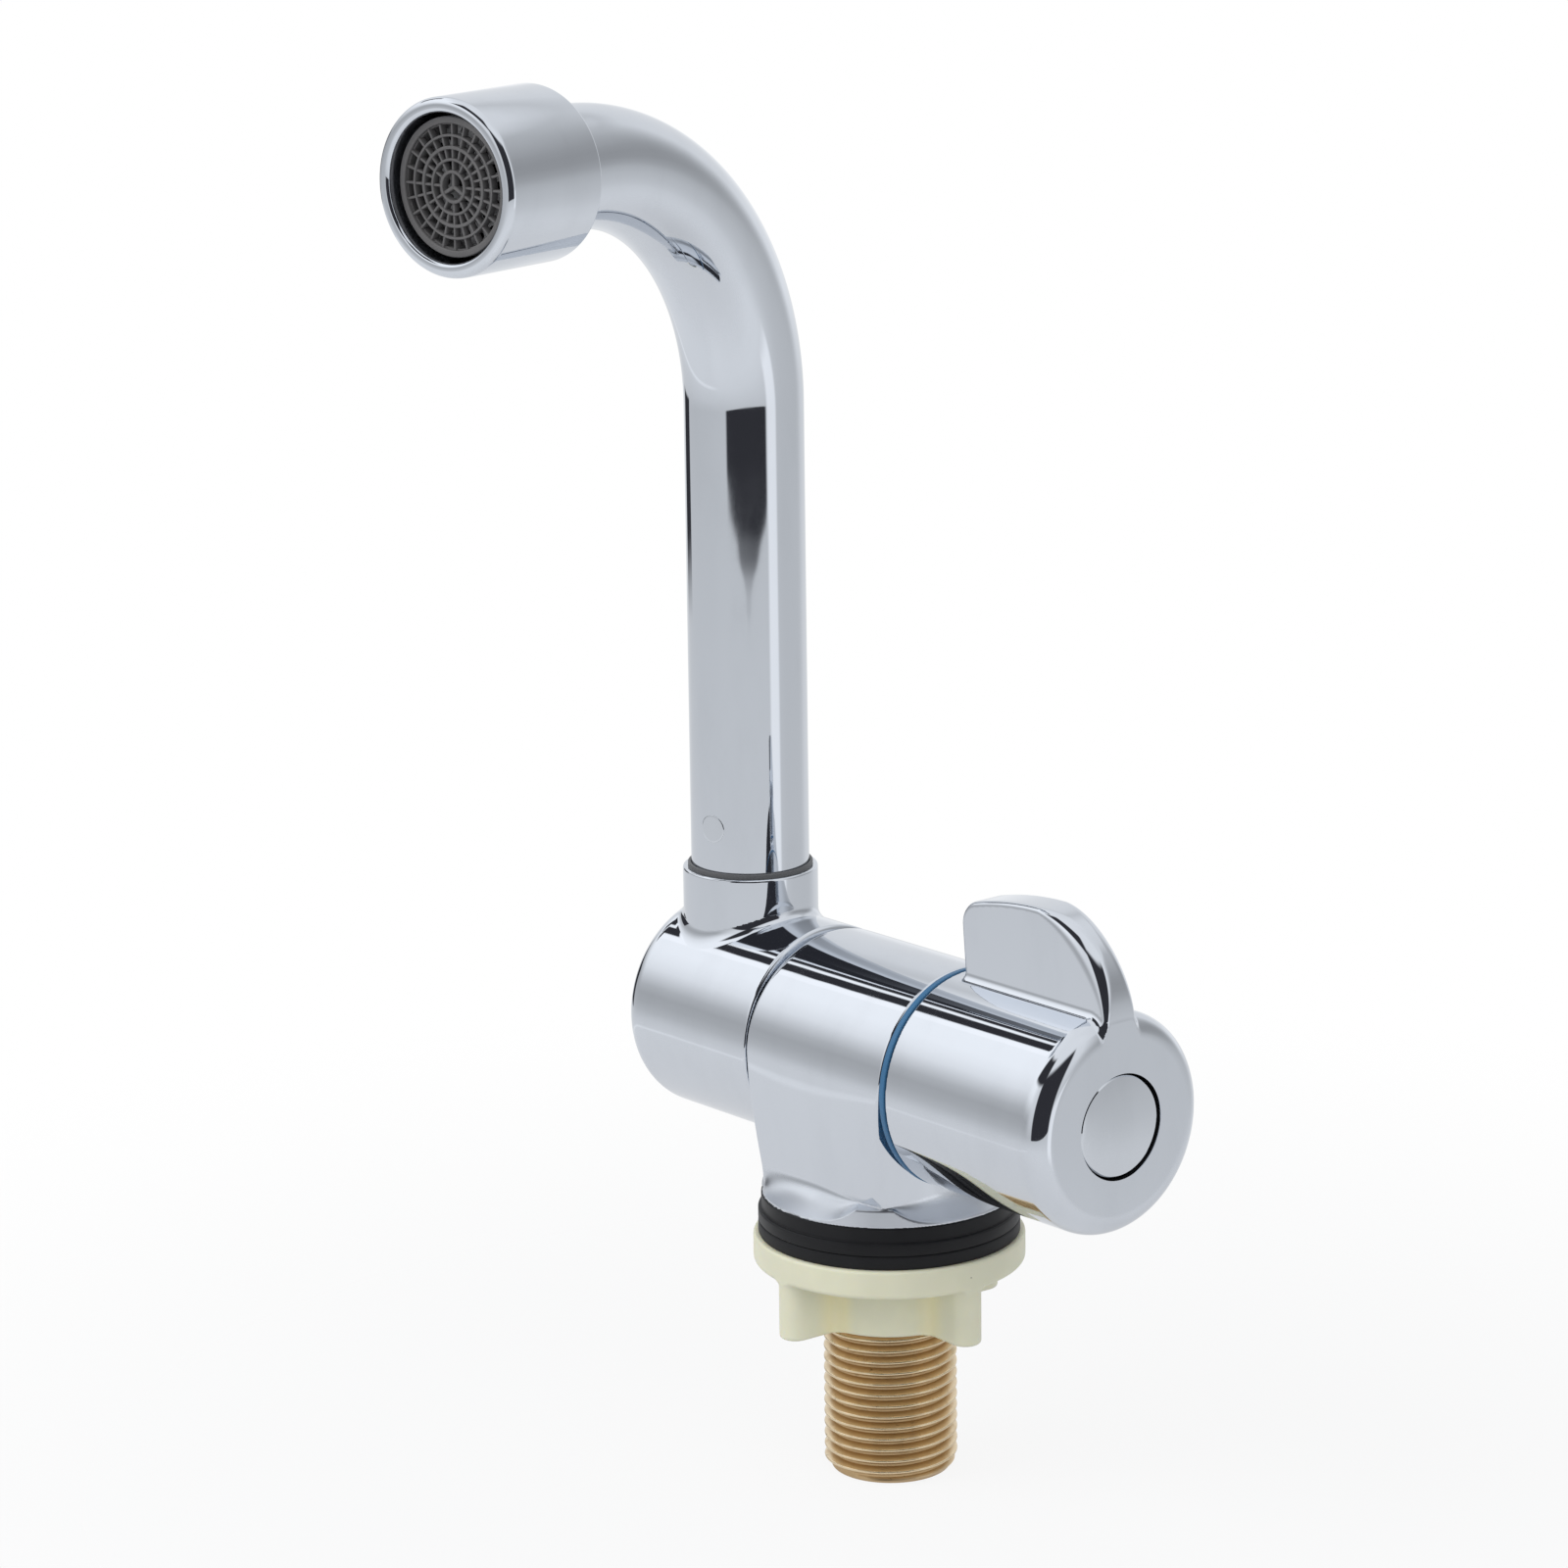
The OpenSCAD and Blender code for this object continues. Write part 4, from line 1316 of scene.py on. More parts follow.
@dataclass
class Handle:
    """The turning knob with its raised fin and the button in its end."""

    barrel: Barrel
    end_edge: float = 3.6 * MM
    ring_edge: float = 0.35 * MM
    fin_half: float = 3.2 * MM
    fin_start: float = 2.3 * MM
    fin_setback: float = 0.05 * MM
    fin_lean: float = 0.084
    fin_lean_drop: float = 9.25 * MM
    fin_rise: float = 1.6 * MM
    fin_crest: float = 54.0 * MM
    fin_corner_near: float = 3.2 * MM
    fin_corner_far: float = 14.6 * MM
    fin_corner_steps: int = 12
    fin_edge: float = 0.85 * MM
    shoulder_edge: float = 1.9 * MM
    fin_fillet: float = 1.2 * MM
    recess_radius: float = 8.2 * MM
    recess_depth: float = 3.4 * MM
    recess_rim: float = 0.35 * MM
    gap_reach: float = 1.1
    gap_slack: float = 0.02 * MM
    button_dome: float = 0.35 * MM
    button_swell: float = 2.0
    button_steps: int = 12
    button_rim: float = 0.3 * MM
    button_drop: float = 0.2 * MM
    button_edge: float = 0.12 * MM
    voxel: float = 0.3 * MM

    def __post_init__(self) -> None:
        """Read the knob's reach and the button's size from their solids."""
        low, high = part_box("handle_knob")
        self.start, self.end, self.top = low.x, high.x, high.z
        low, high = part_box("index_cap")
        self.button_start, self.button_end, self.button_radius = low.x, high.x, high.y

    def fin_span(self) -> Span:
        """Return where the fin starts and ends along the barrel."""
        return self.start + self.fin_start, self.end - self.fin_setback

    def skin(self, points: np.ndarray) -> np.ndarray:
        """Signed distance of the knob with its fin.

        Args:
            points: Places to measure.

        Returns:
            Distances, negative inside.
        """
        x, y, z = points.T
        edges = (self.ring_edge, self.end_edge)
        across = self.barrel.across(points)
        bar = rod(across, x, self.barrel.radius, self.start, self.end, edges)
        near, far = self.fin_span()
        lean = self.fin_lean * (z - self.top + self.fin_lean_drop)
        out = x - (far - self.fin_corner_far)
        rise = z - self.top - self.fin_rise
        rise = rise + np.maximum(-out, 0.0) ** 2 / (2.0 * self.fin_crest)
        over = np.maximum(rise + self.fin_corner_far, TINY)
        front = meet(near - x - lean, rise, self.fin_corner_near)
        outline = np.maximum(front, meet(x - far, rise, self.fin_corner_far))
        shoulder = np.sin(2.0 * np.arctan2(np.maximum(out, 0.0), over))
        edge = self.fin_edge + self.shoulder_edge * shoulder
        fin = meet(outline, np.abs(y) - self.fin_half, edge)
        fin = np.maximum(fin, self.barrel.axis - z)
        return np.maximum(weld(bar, fin, self.fin_fillet), x - self.end)

    def in_gap_shade(self, points: np.ndarray) -> np.ndarray:
        """Tell which points get painted shade in the gap round the button.

        Args:
            points: Places to look at.

        Returns:
            Whether each place is in the gap.
        """
        depth = self.end - points[:, 0]
        deep = (depth > self.recess_rim) & (depth < self.gap_reach * self.recess_depth)
        return deep & (self.barrel.across(points) < self.recess_radius + self.gap_slack)

    def knob(self) -> None:
        """Model the knob and its fin as one casting, with a recess turned into its end."""
        length, lying = self.end - self.start, self.barrel.along(self.start)
        knob = Workpiece.bar("knob_and_fin", self.barrel.radius, 0.0, length, (0.0, self.end_edge))
        knob.place(lying)
        near, far = self.fin_span()
        low, high = (near, -self.fin_half, self.barrel.axis), (far, self.fin_half, self.top)
        fin = Workpiece.block("fin", low, high)
        with fin.editing():
            for side, width in ((near, self.fin_corner_near), (far, self.fin_corner_far)):
                fin.pick(lambda co: abs(co.x - side) < TINY and abs(co.z - self.top) < TINY)
                fin.bevel(width, self.fin_corner_steps)
        knob.take(fin).settle(self.skin, self.voxel)
        floor, rim, over = length - self.recess_depth, length - self.recess_rim, length + SPARE
        recess = Workpiece.turned("recess", [
            (0, floor, 0), (self.recess_radius, floor, 0), (self.recess_radius, rim, 0),
            (self.recess_radius, over, 0), (0, over, 0)], loop=False)
        knob.cut(recess.place(lying)).shade(self.skin, lying)
        knob.finish(Carrier.HANDLE, Slot.CHROME, CAST_CHROME, "handle_knob")
        # The recess wall and floor are painted black as the shade in the gap round the button.
        knob.shadow(self.in_gap_shade)

    def button_skin(self, points: np.ndarray) -> np.ndarray:
        """Return the distance of points from the button's domed face."""
        dome = self.button_dome * (self.barrel.across(points) / self.button_radius) ** 2
        return points[:, 0] - self.button_end + dome

    def button_lean(self, _: np.ndarray, normals: np.ndarray) -> np.ndarray:
        """Tilt the dome's normals further out from the barrel's axis."""
        return unit(normals * np.array([1.0, self.button_swell, self.button_swell]))

    def button(self) -> None:
        """Model the slightly domed button in the knob's end."""
        radius, depth = self.button_radius, self.button_end - self.button_start
        rings = [(0.0, depth, 0.0)]
        for i in range(1, self.button_steps + 1):
            r = (radius - self.button_rim) * i / self.button_steps
            rings.append((r, depth - self.button_dome * (r / radius) ** 2, 0.0))
        rings.append((radius, depth - self.button_dome - self.button_drop, self.button_edge))
        rings += [(radius, 0.0, 0.0), (0.0, 0.0, 0.0)]
        cap = Workpiece.turned("knob_button", rings, loop=False)
        lying = self.barrel.along(self.button_start)
        cap.place(lying).shade(self.button_skin, lying, lean=self.button_lean)
        cap.finish(Carrier.HANDLE, Slot.CHROME_PLASTIC, TRIM_CHROME, "index_cap")

    def build(self) -> None:
        """Build every piece of the sub-assembly."""
        self.knob()
        self.button()


@dataclass
class HingeHub:
    """The folding hub: its barrel, its upright collar, the end cap and the grey bush."""

    barrel: Barrel
    end_edge: float = 4.0 * MM
    seam_edge: float = 0.35 * MM
    seam_crown: float = 0.3 * MM
    collar_radius: float = 10.7 * MM
    collar_edge: float = 0.35 * MM
    socket_radius: float = 9.92 * MM
    socket_depth: float = 4.0 * MM
    socket_flare: float = 0.3 * MM
    saddle_fillet: float = 1.3 * MM
    seat_depth: float = 1.2 * MM
    seat_gap: float = 0.1 * MM
    cap_edge: float = 0.3 * MM
    bush_bore: float = 9.4 * MM
    bush_sink: float = 0.5 * MM
    bush_edges: Span = (0.18 * MM, 0.12 * MM)
    voxel: float = 0.3 * MM

    def __post_init__(self) -> None:
        """Read the hub's reach from its solid."""
        low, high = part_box("spout_hub")
        self.end, self.seam, self.top = low.x, high.x, high.z

    def skin(self, points: np.ndarray) -> np.ndarray:
        """Signed distance of the hub with its collar.

        Args:
            points: Places to measure.

        Returns:
            Distances, negative inside.
        """
        x, y, z = points.T
        axis, across = self.barrel.axis, self.barrel.across(points)
        edges = (self.end_edge, self.seam_edge + self.seam_crown * self.barrel.crown(z) ** 2)
        bar = rod(across, x, self.barrel.radius, self.end, self.seam, edges)
        upright = np.hypot(x - self.barrel.spout_x, y)
        collar = rod(upright, z, self.collar_radius, axis, self.top, (0.0, self.collar_edge))
        return weld(bar, collar, self.saddle_fillet)

    def hub(self) -> None:
        """Model the hub's casting, with a socket in its collar and a seat in its end."""
        lying, standing = self.barrel.along(self.end), self.barrel.standing()
        length = self.seam - self.end
        hub = Workpiece.bar("swivel_hub", self.barrel.radius, 0.0, length, (self.end_edge, 0.0))
        hub.place(lying)
        collar = Workpiece.bar("collar", self.collar_radius, self.barrel.axis, self.top)
        hub.take(collar.place(standing)).settle(self.skin, self.voxel)
        floor, over, bore = self.top - self.socket_depth, self.top + SPARE, self.socket_radius
        wide, half = bore + self.socket_flare, self.socket_flare / 2.0
        socket = Workpiece.turned("socket", [
            (0, floor, 0), (bore, floor, 0), (bore, self.top - half, 0),
            (wide, self.top + half, 0), (wide, over, 0), (0, over, 0)], loop=False)
        seat_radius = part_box("hub_end_cap")[1].y + self.seat_gap
        seat = Workpiece.bar("seat", seat_radius, -SPARE, self.seat_depth)
        hub.cut(socket.place(standing), seat.place(lying)).shade(self.skin, standing, lying)
        hub.finish(Carrier.HUB, Slot.CHROME, CAST_CHROME, "spout_hub")

    def end_cap(self) -> None:
        """Model the small cap in the hub's end."""
        low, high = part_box("hub_end_cap")
        cap = Workpiece.bar("hub_end_button", high.y, 0.0, high.x - low.x, (self.cap_edge, 0.0))
        cap.place(self.barrel.along(low.x))
        cap.finish(Carrier.HUB, Slot.CHROME_PLASTIC, TRIM_CHROME, "hub_end_cap")

    def bush(self) -> None:
        """Model the grey bush that shows above the collar."""
        low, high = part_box("collar_bush")
        bush = Workpiece.ring("collar_bush_grey", self.bush_bore, high.y, low.z,
                              high.z - self.bush_sink, (0, 0, *self.bush_edges))
        bush.place(self.barrel.standing())
        bush.finish(Carrier.HUB, Slot.GREY_PLASTIC, BUSH_GREY, "collar_bush")

    def build(self) -> None:
        """Build every piece of the sub-assembly."""
        self.hub()
        self.end_cap()
        self.bush()


@dataclass
class Spout:
    """The bent tube, the pin through its foot, and the outlet with its grille."""

    barrel: Barrel
    tube_radius: float = 9.35 * MM
    tube_wall: float = 1.0 * MM
    tube_sides: int = 128
    bend_radius: float = 41.4 * MM
    bend_steps: int = 72
    arm_height: float = 168.2 * MM
    arm_back: float = 47.7 * MM
    entry: float = 5.5 * MM
    entry_gap: float = 0.02 * MM
    entry_edge: float = 0.15 * MM
    outlet_radius: float = 13.2 * MM
    outlet_length: float = 20.0 * MM
    outlet_back_edge: float = 0.5 * MM
    outlet_rim_edge: float = 1.25 * MM
    outlet_mouth_edge: float = 0.7 * MM
    cavity_radius: float = 10.95 * MM
    cavity_start: float = 7.0 * MM
    pin_radius: float = 2.25 * MM
    pin_height: float = 60.3 * MM
    pin_proud: float = 0.05 * MM
    pin_rim: float = 0.16 * MM
    pin_edge: float = 0.05 * MM
    pin_edge_drop: float = 0.04 * MM
    pin_depth: float = 0.8 * MM
    pin_shadow: float = 0.09 * MM
    pin_rings: int = 8
    pin_steps: int = 64
    grille_radius: float = 10.25 * MM
    grille_rim: float = 1.0 * MM
    grille_rim_edge: float = 0.2 * MM
    grille_depth: float = 1.4 * MM
    grille_recess: float = 1.8 * MM
    grille_edge: float = 0.14 * MM
    grille_edge_steps: int = 3
    grille_steps: int = 128
    ring_steps: int = 96
    grille_angle: float = 50.0
    grille_rings: Ramp = (
        (2.2 * MM, 0.5 * MM), (3.96 * MM, 0.42 * MM), (5.72 * MM, 0.52 * MM), (7.49 * MM, 0.4 * MM))
    ring_drop: float = 0.1 * MM
    spoke_drop: float = 0.25 * MM
    spoke_width: float = 0.4 * MM
    hub_spoke_width: float = 0.55 * MM
    spoke_counts: tuple[int, int, int] = (24, 12, 3)
    spoke_overlap: float = 0.3 * MM

    def tube(self) -> None:
        """Model the tube: straight up, round the bend and out along the arm."""
        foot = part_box("spout_tube")[0].z
        Workpiece.clear_selection()
        bpy.ops.mesh.primitive_circle_add(
            vertices=self.tube_sides, radius=self.tube_radius, location=(0.0, 0.0, foot))
        tube = Workpiece(bpy.context.active_object, "spout_pipe")
        bpy.ops.object.transform_apply(location=True, rotation=True, scale=True)
        turn = self.arm_height - self.bend_radius
        up = (0.0, 0.0, turn - foot)
        out = (0.0, -(self.arm_back + self.entry - self.bend_radius), 0.0)
        with tube.editing():
            bpy.ops.mesh.select_all(action="SELECT")
            bpy.ops.mesh.extrude_edges_move(TRANSFORM_OT_translate={"value": up})
            bpy.ops.mesh.spin(steps=self.bend_steps, angle=-QUARTER_TURN,
                              center=(0.0, -self.bend_radius, turn), axis=(1, 0, 0))
            bpy.ops.mesh.extrude_edges_move(TRANSFORM_OT_translate={"value": out})
        tube.seal()
        tube.modify("SOLIDIFY", thickness=self.tube_wall, offset=-1.0)
        tube.smooth()
        tube.place(self.barrel.upright())
        tube.finish(Carrier.SPOUT, Slot.CHROME, DRAWN_CHROME, "spout_tube")

    def in_pin_edge_shade(self, points: np.ndarray) -> np.ndarray:
        """Tell which points get the fine line of painted shade round the pin.

        Args:
            points: Places to look at.

        Returns:
            Whether each place is in the line.
        """
        spine = np.array(self.barrel.arm(self.pin_height, 0.0).inverted())
        across = np.hypot(*(points @ spine[:2, :3].T + spine[:2, 3]).T)
        return across > self.pin_radius - self.pin_shadow

    def pin(self) -> None:
        """Model the pin's flush head, curved like the tube."""
        radius, proud, count = self.pin_radius, self.pin_proud, self.pin_rings
        rings = [(radius * i / count, proud, 0.0) for i in range(count)]
        rings += [(radius - self.pin_rim, proud, 0.0),
                  (radius - self.pin_edge, proud - self.pin_edge_drop, 0.0),
                  (radius, -self.pin_edge, 0.0), (radius, -self.pin_depth, 0.0),
                  (0.0, -self.pin_depth, 0.0)]
        head = Workpiece.turned("spout_pin_head", rings, self.pin_steps, loop=False)
        points = head.points()
        points[:, 2] += np.sqrt(self.tube_radius ** 2 - points[:, 0] ** 2)
        head.move_points(points)
        head.place(self.barrel.arm(self.pin_height, 0.0))
        head.finish(Carrier.SPOUT, Slot.CHROME_PLASTIC, TRIM_CHROME, "spout_pin")
        # The pin's outer rim is painted black as the shade of the fine gap round it.
        head.shadow(self.in_pin_edge_shade)

    def outlet(self) -> None:
        """Model the outlet's chromed sleeve with its rolled rim."""
        entry_radius, bore = self.tube_radius + self.entry_gap, self.tube_radius - self.tube_wall
        sleeve = Workpiece.turned("outlet_sleeve", [
            (entry_radius, 0, self.entry_edge), (self.outlet_radius, 0, self.outlet_back_edge),
            (self.outlet_radius, self.outlet_length, self.outlet_rim_edge),
            (self.cavity_radius, self.outlet_length, self.outlet_mouth_edge),
            (self.cavity_radius, self.cavity_start, 0), (bore, self.cavity_start, 0),
            (bore, self.entry, 0), (entry_radius, self.entry, 0)])
        sleeve.place(self.barrel.arm(self.arm_height, self.arm_back))
        sleeve.finish(Carrier.SPOUT, Slot.CHROME, DRAWN_CHROME, "aerator_housing")

    def spokes(self, count: int, start: float, end: float, width: float) -> list[Workpiece]:
        """Model one spoke with softened edges and copy it round the grille.

        Args:
            count: How many there are.
            start: Where they start, from the grille's centre.
            end: Where they end.
            width: How wide they are.

        Returns:
            The spokes.
        """
        half, top = width / 2.0, self.grille_depth - self.spoke_drop
        bar = Workpiece.block("grille_spoke", (start, -half, 0.0), (end, half, top))
        with bar.editing():
            bar.pick(lambda co: co.z > self.grille_depth / 2.0)
            bar.bevel(self.grille_edge, self.grille_edge_steps)
        turns = [FULL_TURN * i / count + QUARTER_TURN for i in range(count)]
        twins = [bar.copy().place(Matrix.Rotation(turn, 4, "Z")) for turn in turns]
        bpy.data.objects.remove(bar.obj)
        return twins

    def grille(self) -> None:
        """Model the outlet's grille: a rim, four rings and three rows of spokes."""
        depth, soft = self.grille_depth, self.grille_edge
        inner = self.grille_radius - self.grille_rim
        grille = Workpiece.ring("outlet_grille", inner, self.grille_radius, 0.0, depth,
                                (0, 0, self.grille_rim_edge, self.grille_rim_edge),
                                self.grille_steps)
        parts = []
        for radius, width in self.grille_rings:
            half = width / 2.0
            parts.append(Workpiece.ring(
                "grille_ring", radius - half, radius + half, 0.0, depth - self.ring_drop,
                (0, 0, soft, soft), self.ring_steps))
        first, second = self.grille_rings[0][0], self.grille_rings[1][0]
        many, some, few = self.spoke_counts
        parts += self.spokes(many, second, inner + self.spoke_overlap, self.spoke_width)
        parts += self.spokes(some, first, second, self.spoke_width)
        parts += self.spokes(few, 0.0, first, self.hub_spoke_width)
        grille.take(*parts)
        grille.smooth(self.grille_angle)
        start = self.outlet_length - self.grille_recess - depth
        grille.place(self.barrel.arm(self.arm_height, self.arm_back + start))
        grille.finish(Carrier.SPOUT, Slot.GREY_PLASTIC, GRILLE_GREY, "aerator_grille")

    def build(self) -> None:
        """Build every piece of the sub-assembly."""
        self.tube()
        self.pin()
        self.outlet()
        self.grille()


@dataclass
class BackNut:
    """The cream wing nut under the deck."""

    flange_depth: float = 4.6 * MM
    flange_edges: Span = (0.8 * MM, 0.48 * MM)
    flange_fillet: float = 0.8 * MM
    bore: float = 10.55 * MM
    bore_edge: float = 0.25 * MM
    wall: float = 2.0 * MM
    wings: int = 4
    wing_span: float = 42.4 * MM
    wing_width: float = 5.0 * MM
    wing_edge: float = 0.6 * MM
    wing_root: float = 0.6 * MM
    wing_roundness: float = 0.96
    wing_steps: int = 8
    corner_fillet: float = 1.5 * MM
    turn: float = math.radians(-3.0)
    voxel: float = 0.32 * MM

    def __post_init__(self) -> None:
        """Read the nut's reach from its solid."""
        low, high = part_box("backnut")
        self.bottom, self.radius = low.z, min(high.x, high.y)

    def skin(self, points: np.ndarray) -> np.ndarray:
        """Signed distance of the nut.

        Args:
            points: Places to measure.

        Returns:
            Distances, negative inside.
        """
        x, y, z = points.T
        c, s = math.cos(self.turn), math.sin(self.turn)
        u, v = x * c + y * s, y * c - x * s
        across = np.hypot(u, v)
        flange = rod(across, z, self.radius, -self.flange_depth, 0.0, self.flange_edges)
        half = self.wing_width / 2.0
        reach = self.wing_span / 2.0 - half
        wing_u = np.hypot(np.maximum(np.abs(u) - reach, 0.0), v) - half
        wing_v = np.hypot(np.maximum(np.abs(v) - reach, 0.0), u) - half
        sleeve = across - self.bore - self.wall
        outline = weld(sleeve, np.minimum(wing_u, wing_v), self.corner_fillet)
        lower = meet(outline, self.bottom - z, self.wing_edge)
        lower = np.maximum(lower, z + self.flange_depth / 2.0)
        solid = np.maximum(weld(flange, lower, self.flange_fillet), across - self.radius)
        return meet(solid, self.bore - across, self.bore_edge)

    def wing(self) -> Workpiece:
        """Model one wing: a block whose outer upright edges are rounded off.

        Returns:
            The wing, along the X axis.
        """
        half, tip = self.wing_width / 2.0, self.wing_span / 2.0
        low = (self.bore + self.wing_root, -half, self.bottom)
        wing = Workpiece.block("wing", low, (tip, half, -self.flange_depth / 2.0))
        with wing.editing():
            wing.pick(lambda co: co.x > (tip + self.bore) / 2.0)
            bm = bmesh.from_edit_mesh(wing.obj.data)
            for edge in bm.edges:
                one, two = edge.verts
                upright = abs(one.co.z - two.co.z) > TINY
                edge.select_set(upright and one.select and two.select)
            bmesh.update_edit_mesh(wing.obj.data)
            bpy.ops.mesh.select_mode(type="EDGE")
            wing.bevel(half * self.wing_roundness, self.wing_steps)
        return wing

    def build(self) -> None:
        """Model the nut: its flange and sleeve, and the wings round them."""
        bore, wall, flange = self.bore, self.bore + self.wall, -self.flange_depth
        nut = Workpiece.turned("wing_nut", [
            (bore, 0, 0), (self.radius, 0, 0), (self.radius, flange, 0), (wall, flange, 0),
            (wall, self.bottom, 0), (bore, self.bottom, 0)])
        turns = [self.turn + FULL_TURN * i / self.wings for i in range(self.wings)]
        wings = [self.wing().place(Matrix.Rotation(turn, 4, "Z")) for turn in turns]
        nut.take(*wings).settle(self.skin, self.voxel).shade(self.skin)
        nut.finish(Carrier.NUT, Slot.CREAM_PLASTIC, WAXY_CREAM, "backnut")


@dataclass
class InnerWorks:
    """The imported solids, of which those inside the tap stay as they are."""

    def build(self) -> None:
        """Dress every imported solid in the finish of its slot."""
        for row in frame["record"]["subparts"]:
            finish = SLOT_FINISH[Slot(row["material_slot"])]
            materials = frame["nodes"][row["node"]].data.materials
            materials.clear()
            materials.append(finish.material())
            log.info("%s: packed solid, %s", row["node"], finish.name)


@dataclass(frozen=True)
class Wall:
    """A side of the tent: its heading and half widths in degrees, and its brightness by height."""

    heading: float
    inner: float
    outer: float
    stops: Ramp


@dataclass(frozen=True)
class Patch:
    """A soft-edged patch on the tent: its heading, half widths and heights, in degrees."""

    heading: float
    inner: float
    outer: float
    low: float
    high: float
    soft: float
    strength: float = 1.0


@dataclass(frozen=True)
class Lamp:
    """A soft square lamp that points at the tap; neither camera nor mirrors see it."""

    name: str
    place: Triple
    size: float
    power: float
    target: Triple = (0.0, 0.0, 0.05)

    def hang(self) -> None:
        """Add the lamp to the scene."""
        light = bpy.data.lights.new(self.name, "AREA")
        light.size = self.size
        light.energy = self.power
        holder = bpy.data.objects.new(self.name, light)
        bpy.context.scene.collection.objects.link(holder)
        holder.location = self.place
        aim = Vector(self.target) - Vector(self.place)
        holder.rotation_euler = aim.to_track_quat("-Z", "Y").to_euler()
        holder.visible_glossy = False
        holder.visible_camera = False


class Sky:
    """The directions round the tap, as values in the world's graph."""

    TINT: Colour = (0.985, 1.0, 1.02)
    LEVEL = 0.8

    def __init__(self, graph: Graph) -> None:
        """Work out each direction's heading and height in degrees.

        Args:
            graph: The world's graph.
        """
        self.graph = graph
        degrees = 180.0 / math.pi
        self.x, self.y, z = graph.split(graph.node("ShaderNodeTexCoord").outputs["Generated"])
        self.height = z.math("ARCSINE") * degrees
        self.heading = self.x.math("ARCTAN2", self.y * -1.0) * degrees
        self.flat = (self.x * self.x + self.y * self.y + TINY).math("SQRT")

    def sector(self, heading: float, inner: float, outer: float) -> Value:
        """Mark the directions near a heading.

        Args:
            heading: The sector's middle, in degrees.
            inner: Half the width that is marked in full.
            outer: Half the width beyond which nothing is marked.

        Returns:
            The mark, from 0 to 1.
        """
        middle = math.radians(heading)
        facing = (self.x * math.sin(middle) - self.y * math.cos(middle)) / self.flat
        return facing.ramp(math.cos(math.radians(outer)), math.cos(math.radians(inner)))

    def between(self, low: float, high: float, soft: float) -> Value:
        """Mark the directions between two heights, with soft edges, in degrees."""
        above = self.height.ramp(low - soft, low + soft)
        return above * (1.0 - self.height.ramp(high - soft, high + soft))

    def marked(self, patches: Sequence[Patch]) -> Value:
        """Mark the directions in any of some patches.

        Args:
            patches: The patches.

        Returns:
            The mark, from 0 to 1.
        """
        marks = []
        for p in patches:
            sector = self.sector(p.heading, p.inner, p.outer)
            marks.append(sector * self.between(p.low, p.high, p.soft) * p.strength)
        return reduce(Value.most, marks)

    def brightness(self, stops: Ramp) -> bpy.types.NodeSocket:
        """Make a brightness that depends on the height.

        Args:
            stops: Heights in degrees and brightnesses, in order.

        Returns:
            The colour.
        """
        tints = [tuple(self.LEVEL * b * c for c in self.TINT) for _, b in stops]
        marks = [((e + 90.0) / 180.0, tint) for (e, _), tint in zip(stops, tints)]
        share = (self.height + 90.0) / 180.0
        return self.graph.node("ShaderNodeValToRGB", {"stops": marks}, {0: share}).outputs["Color"]


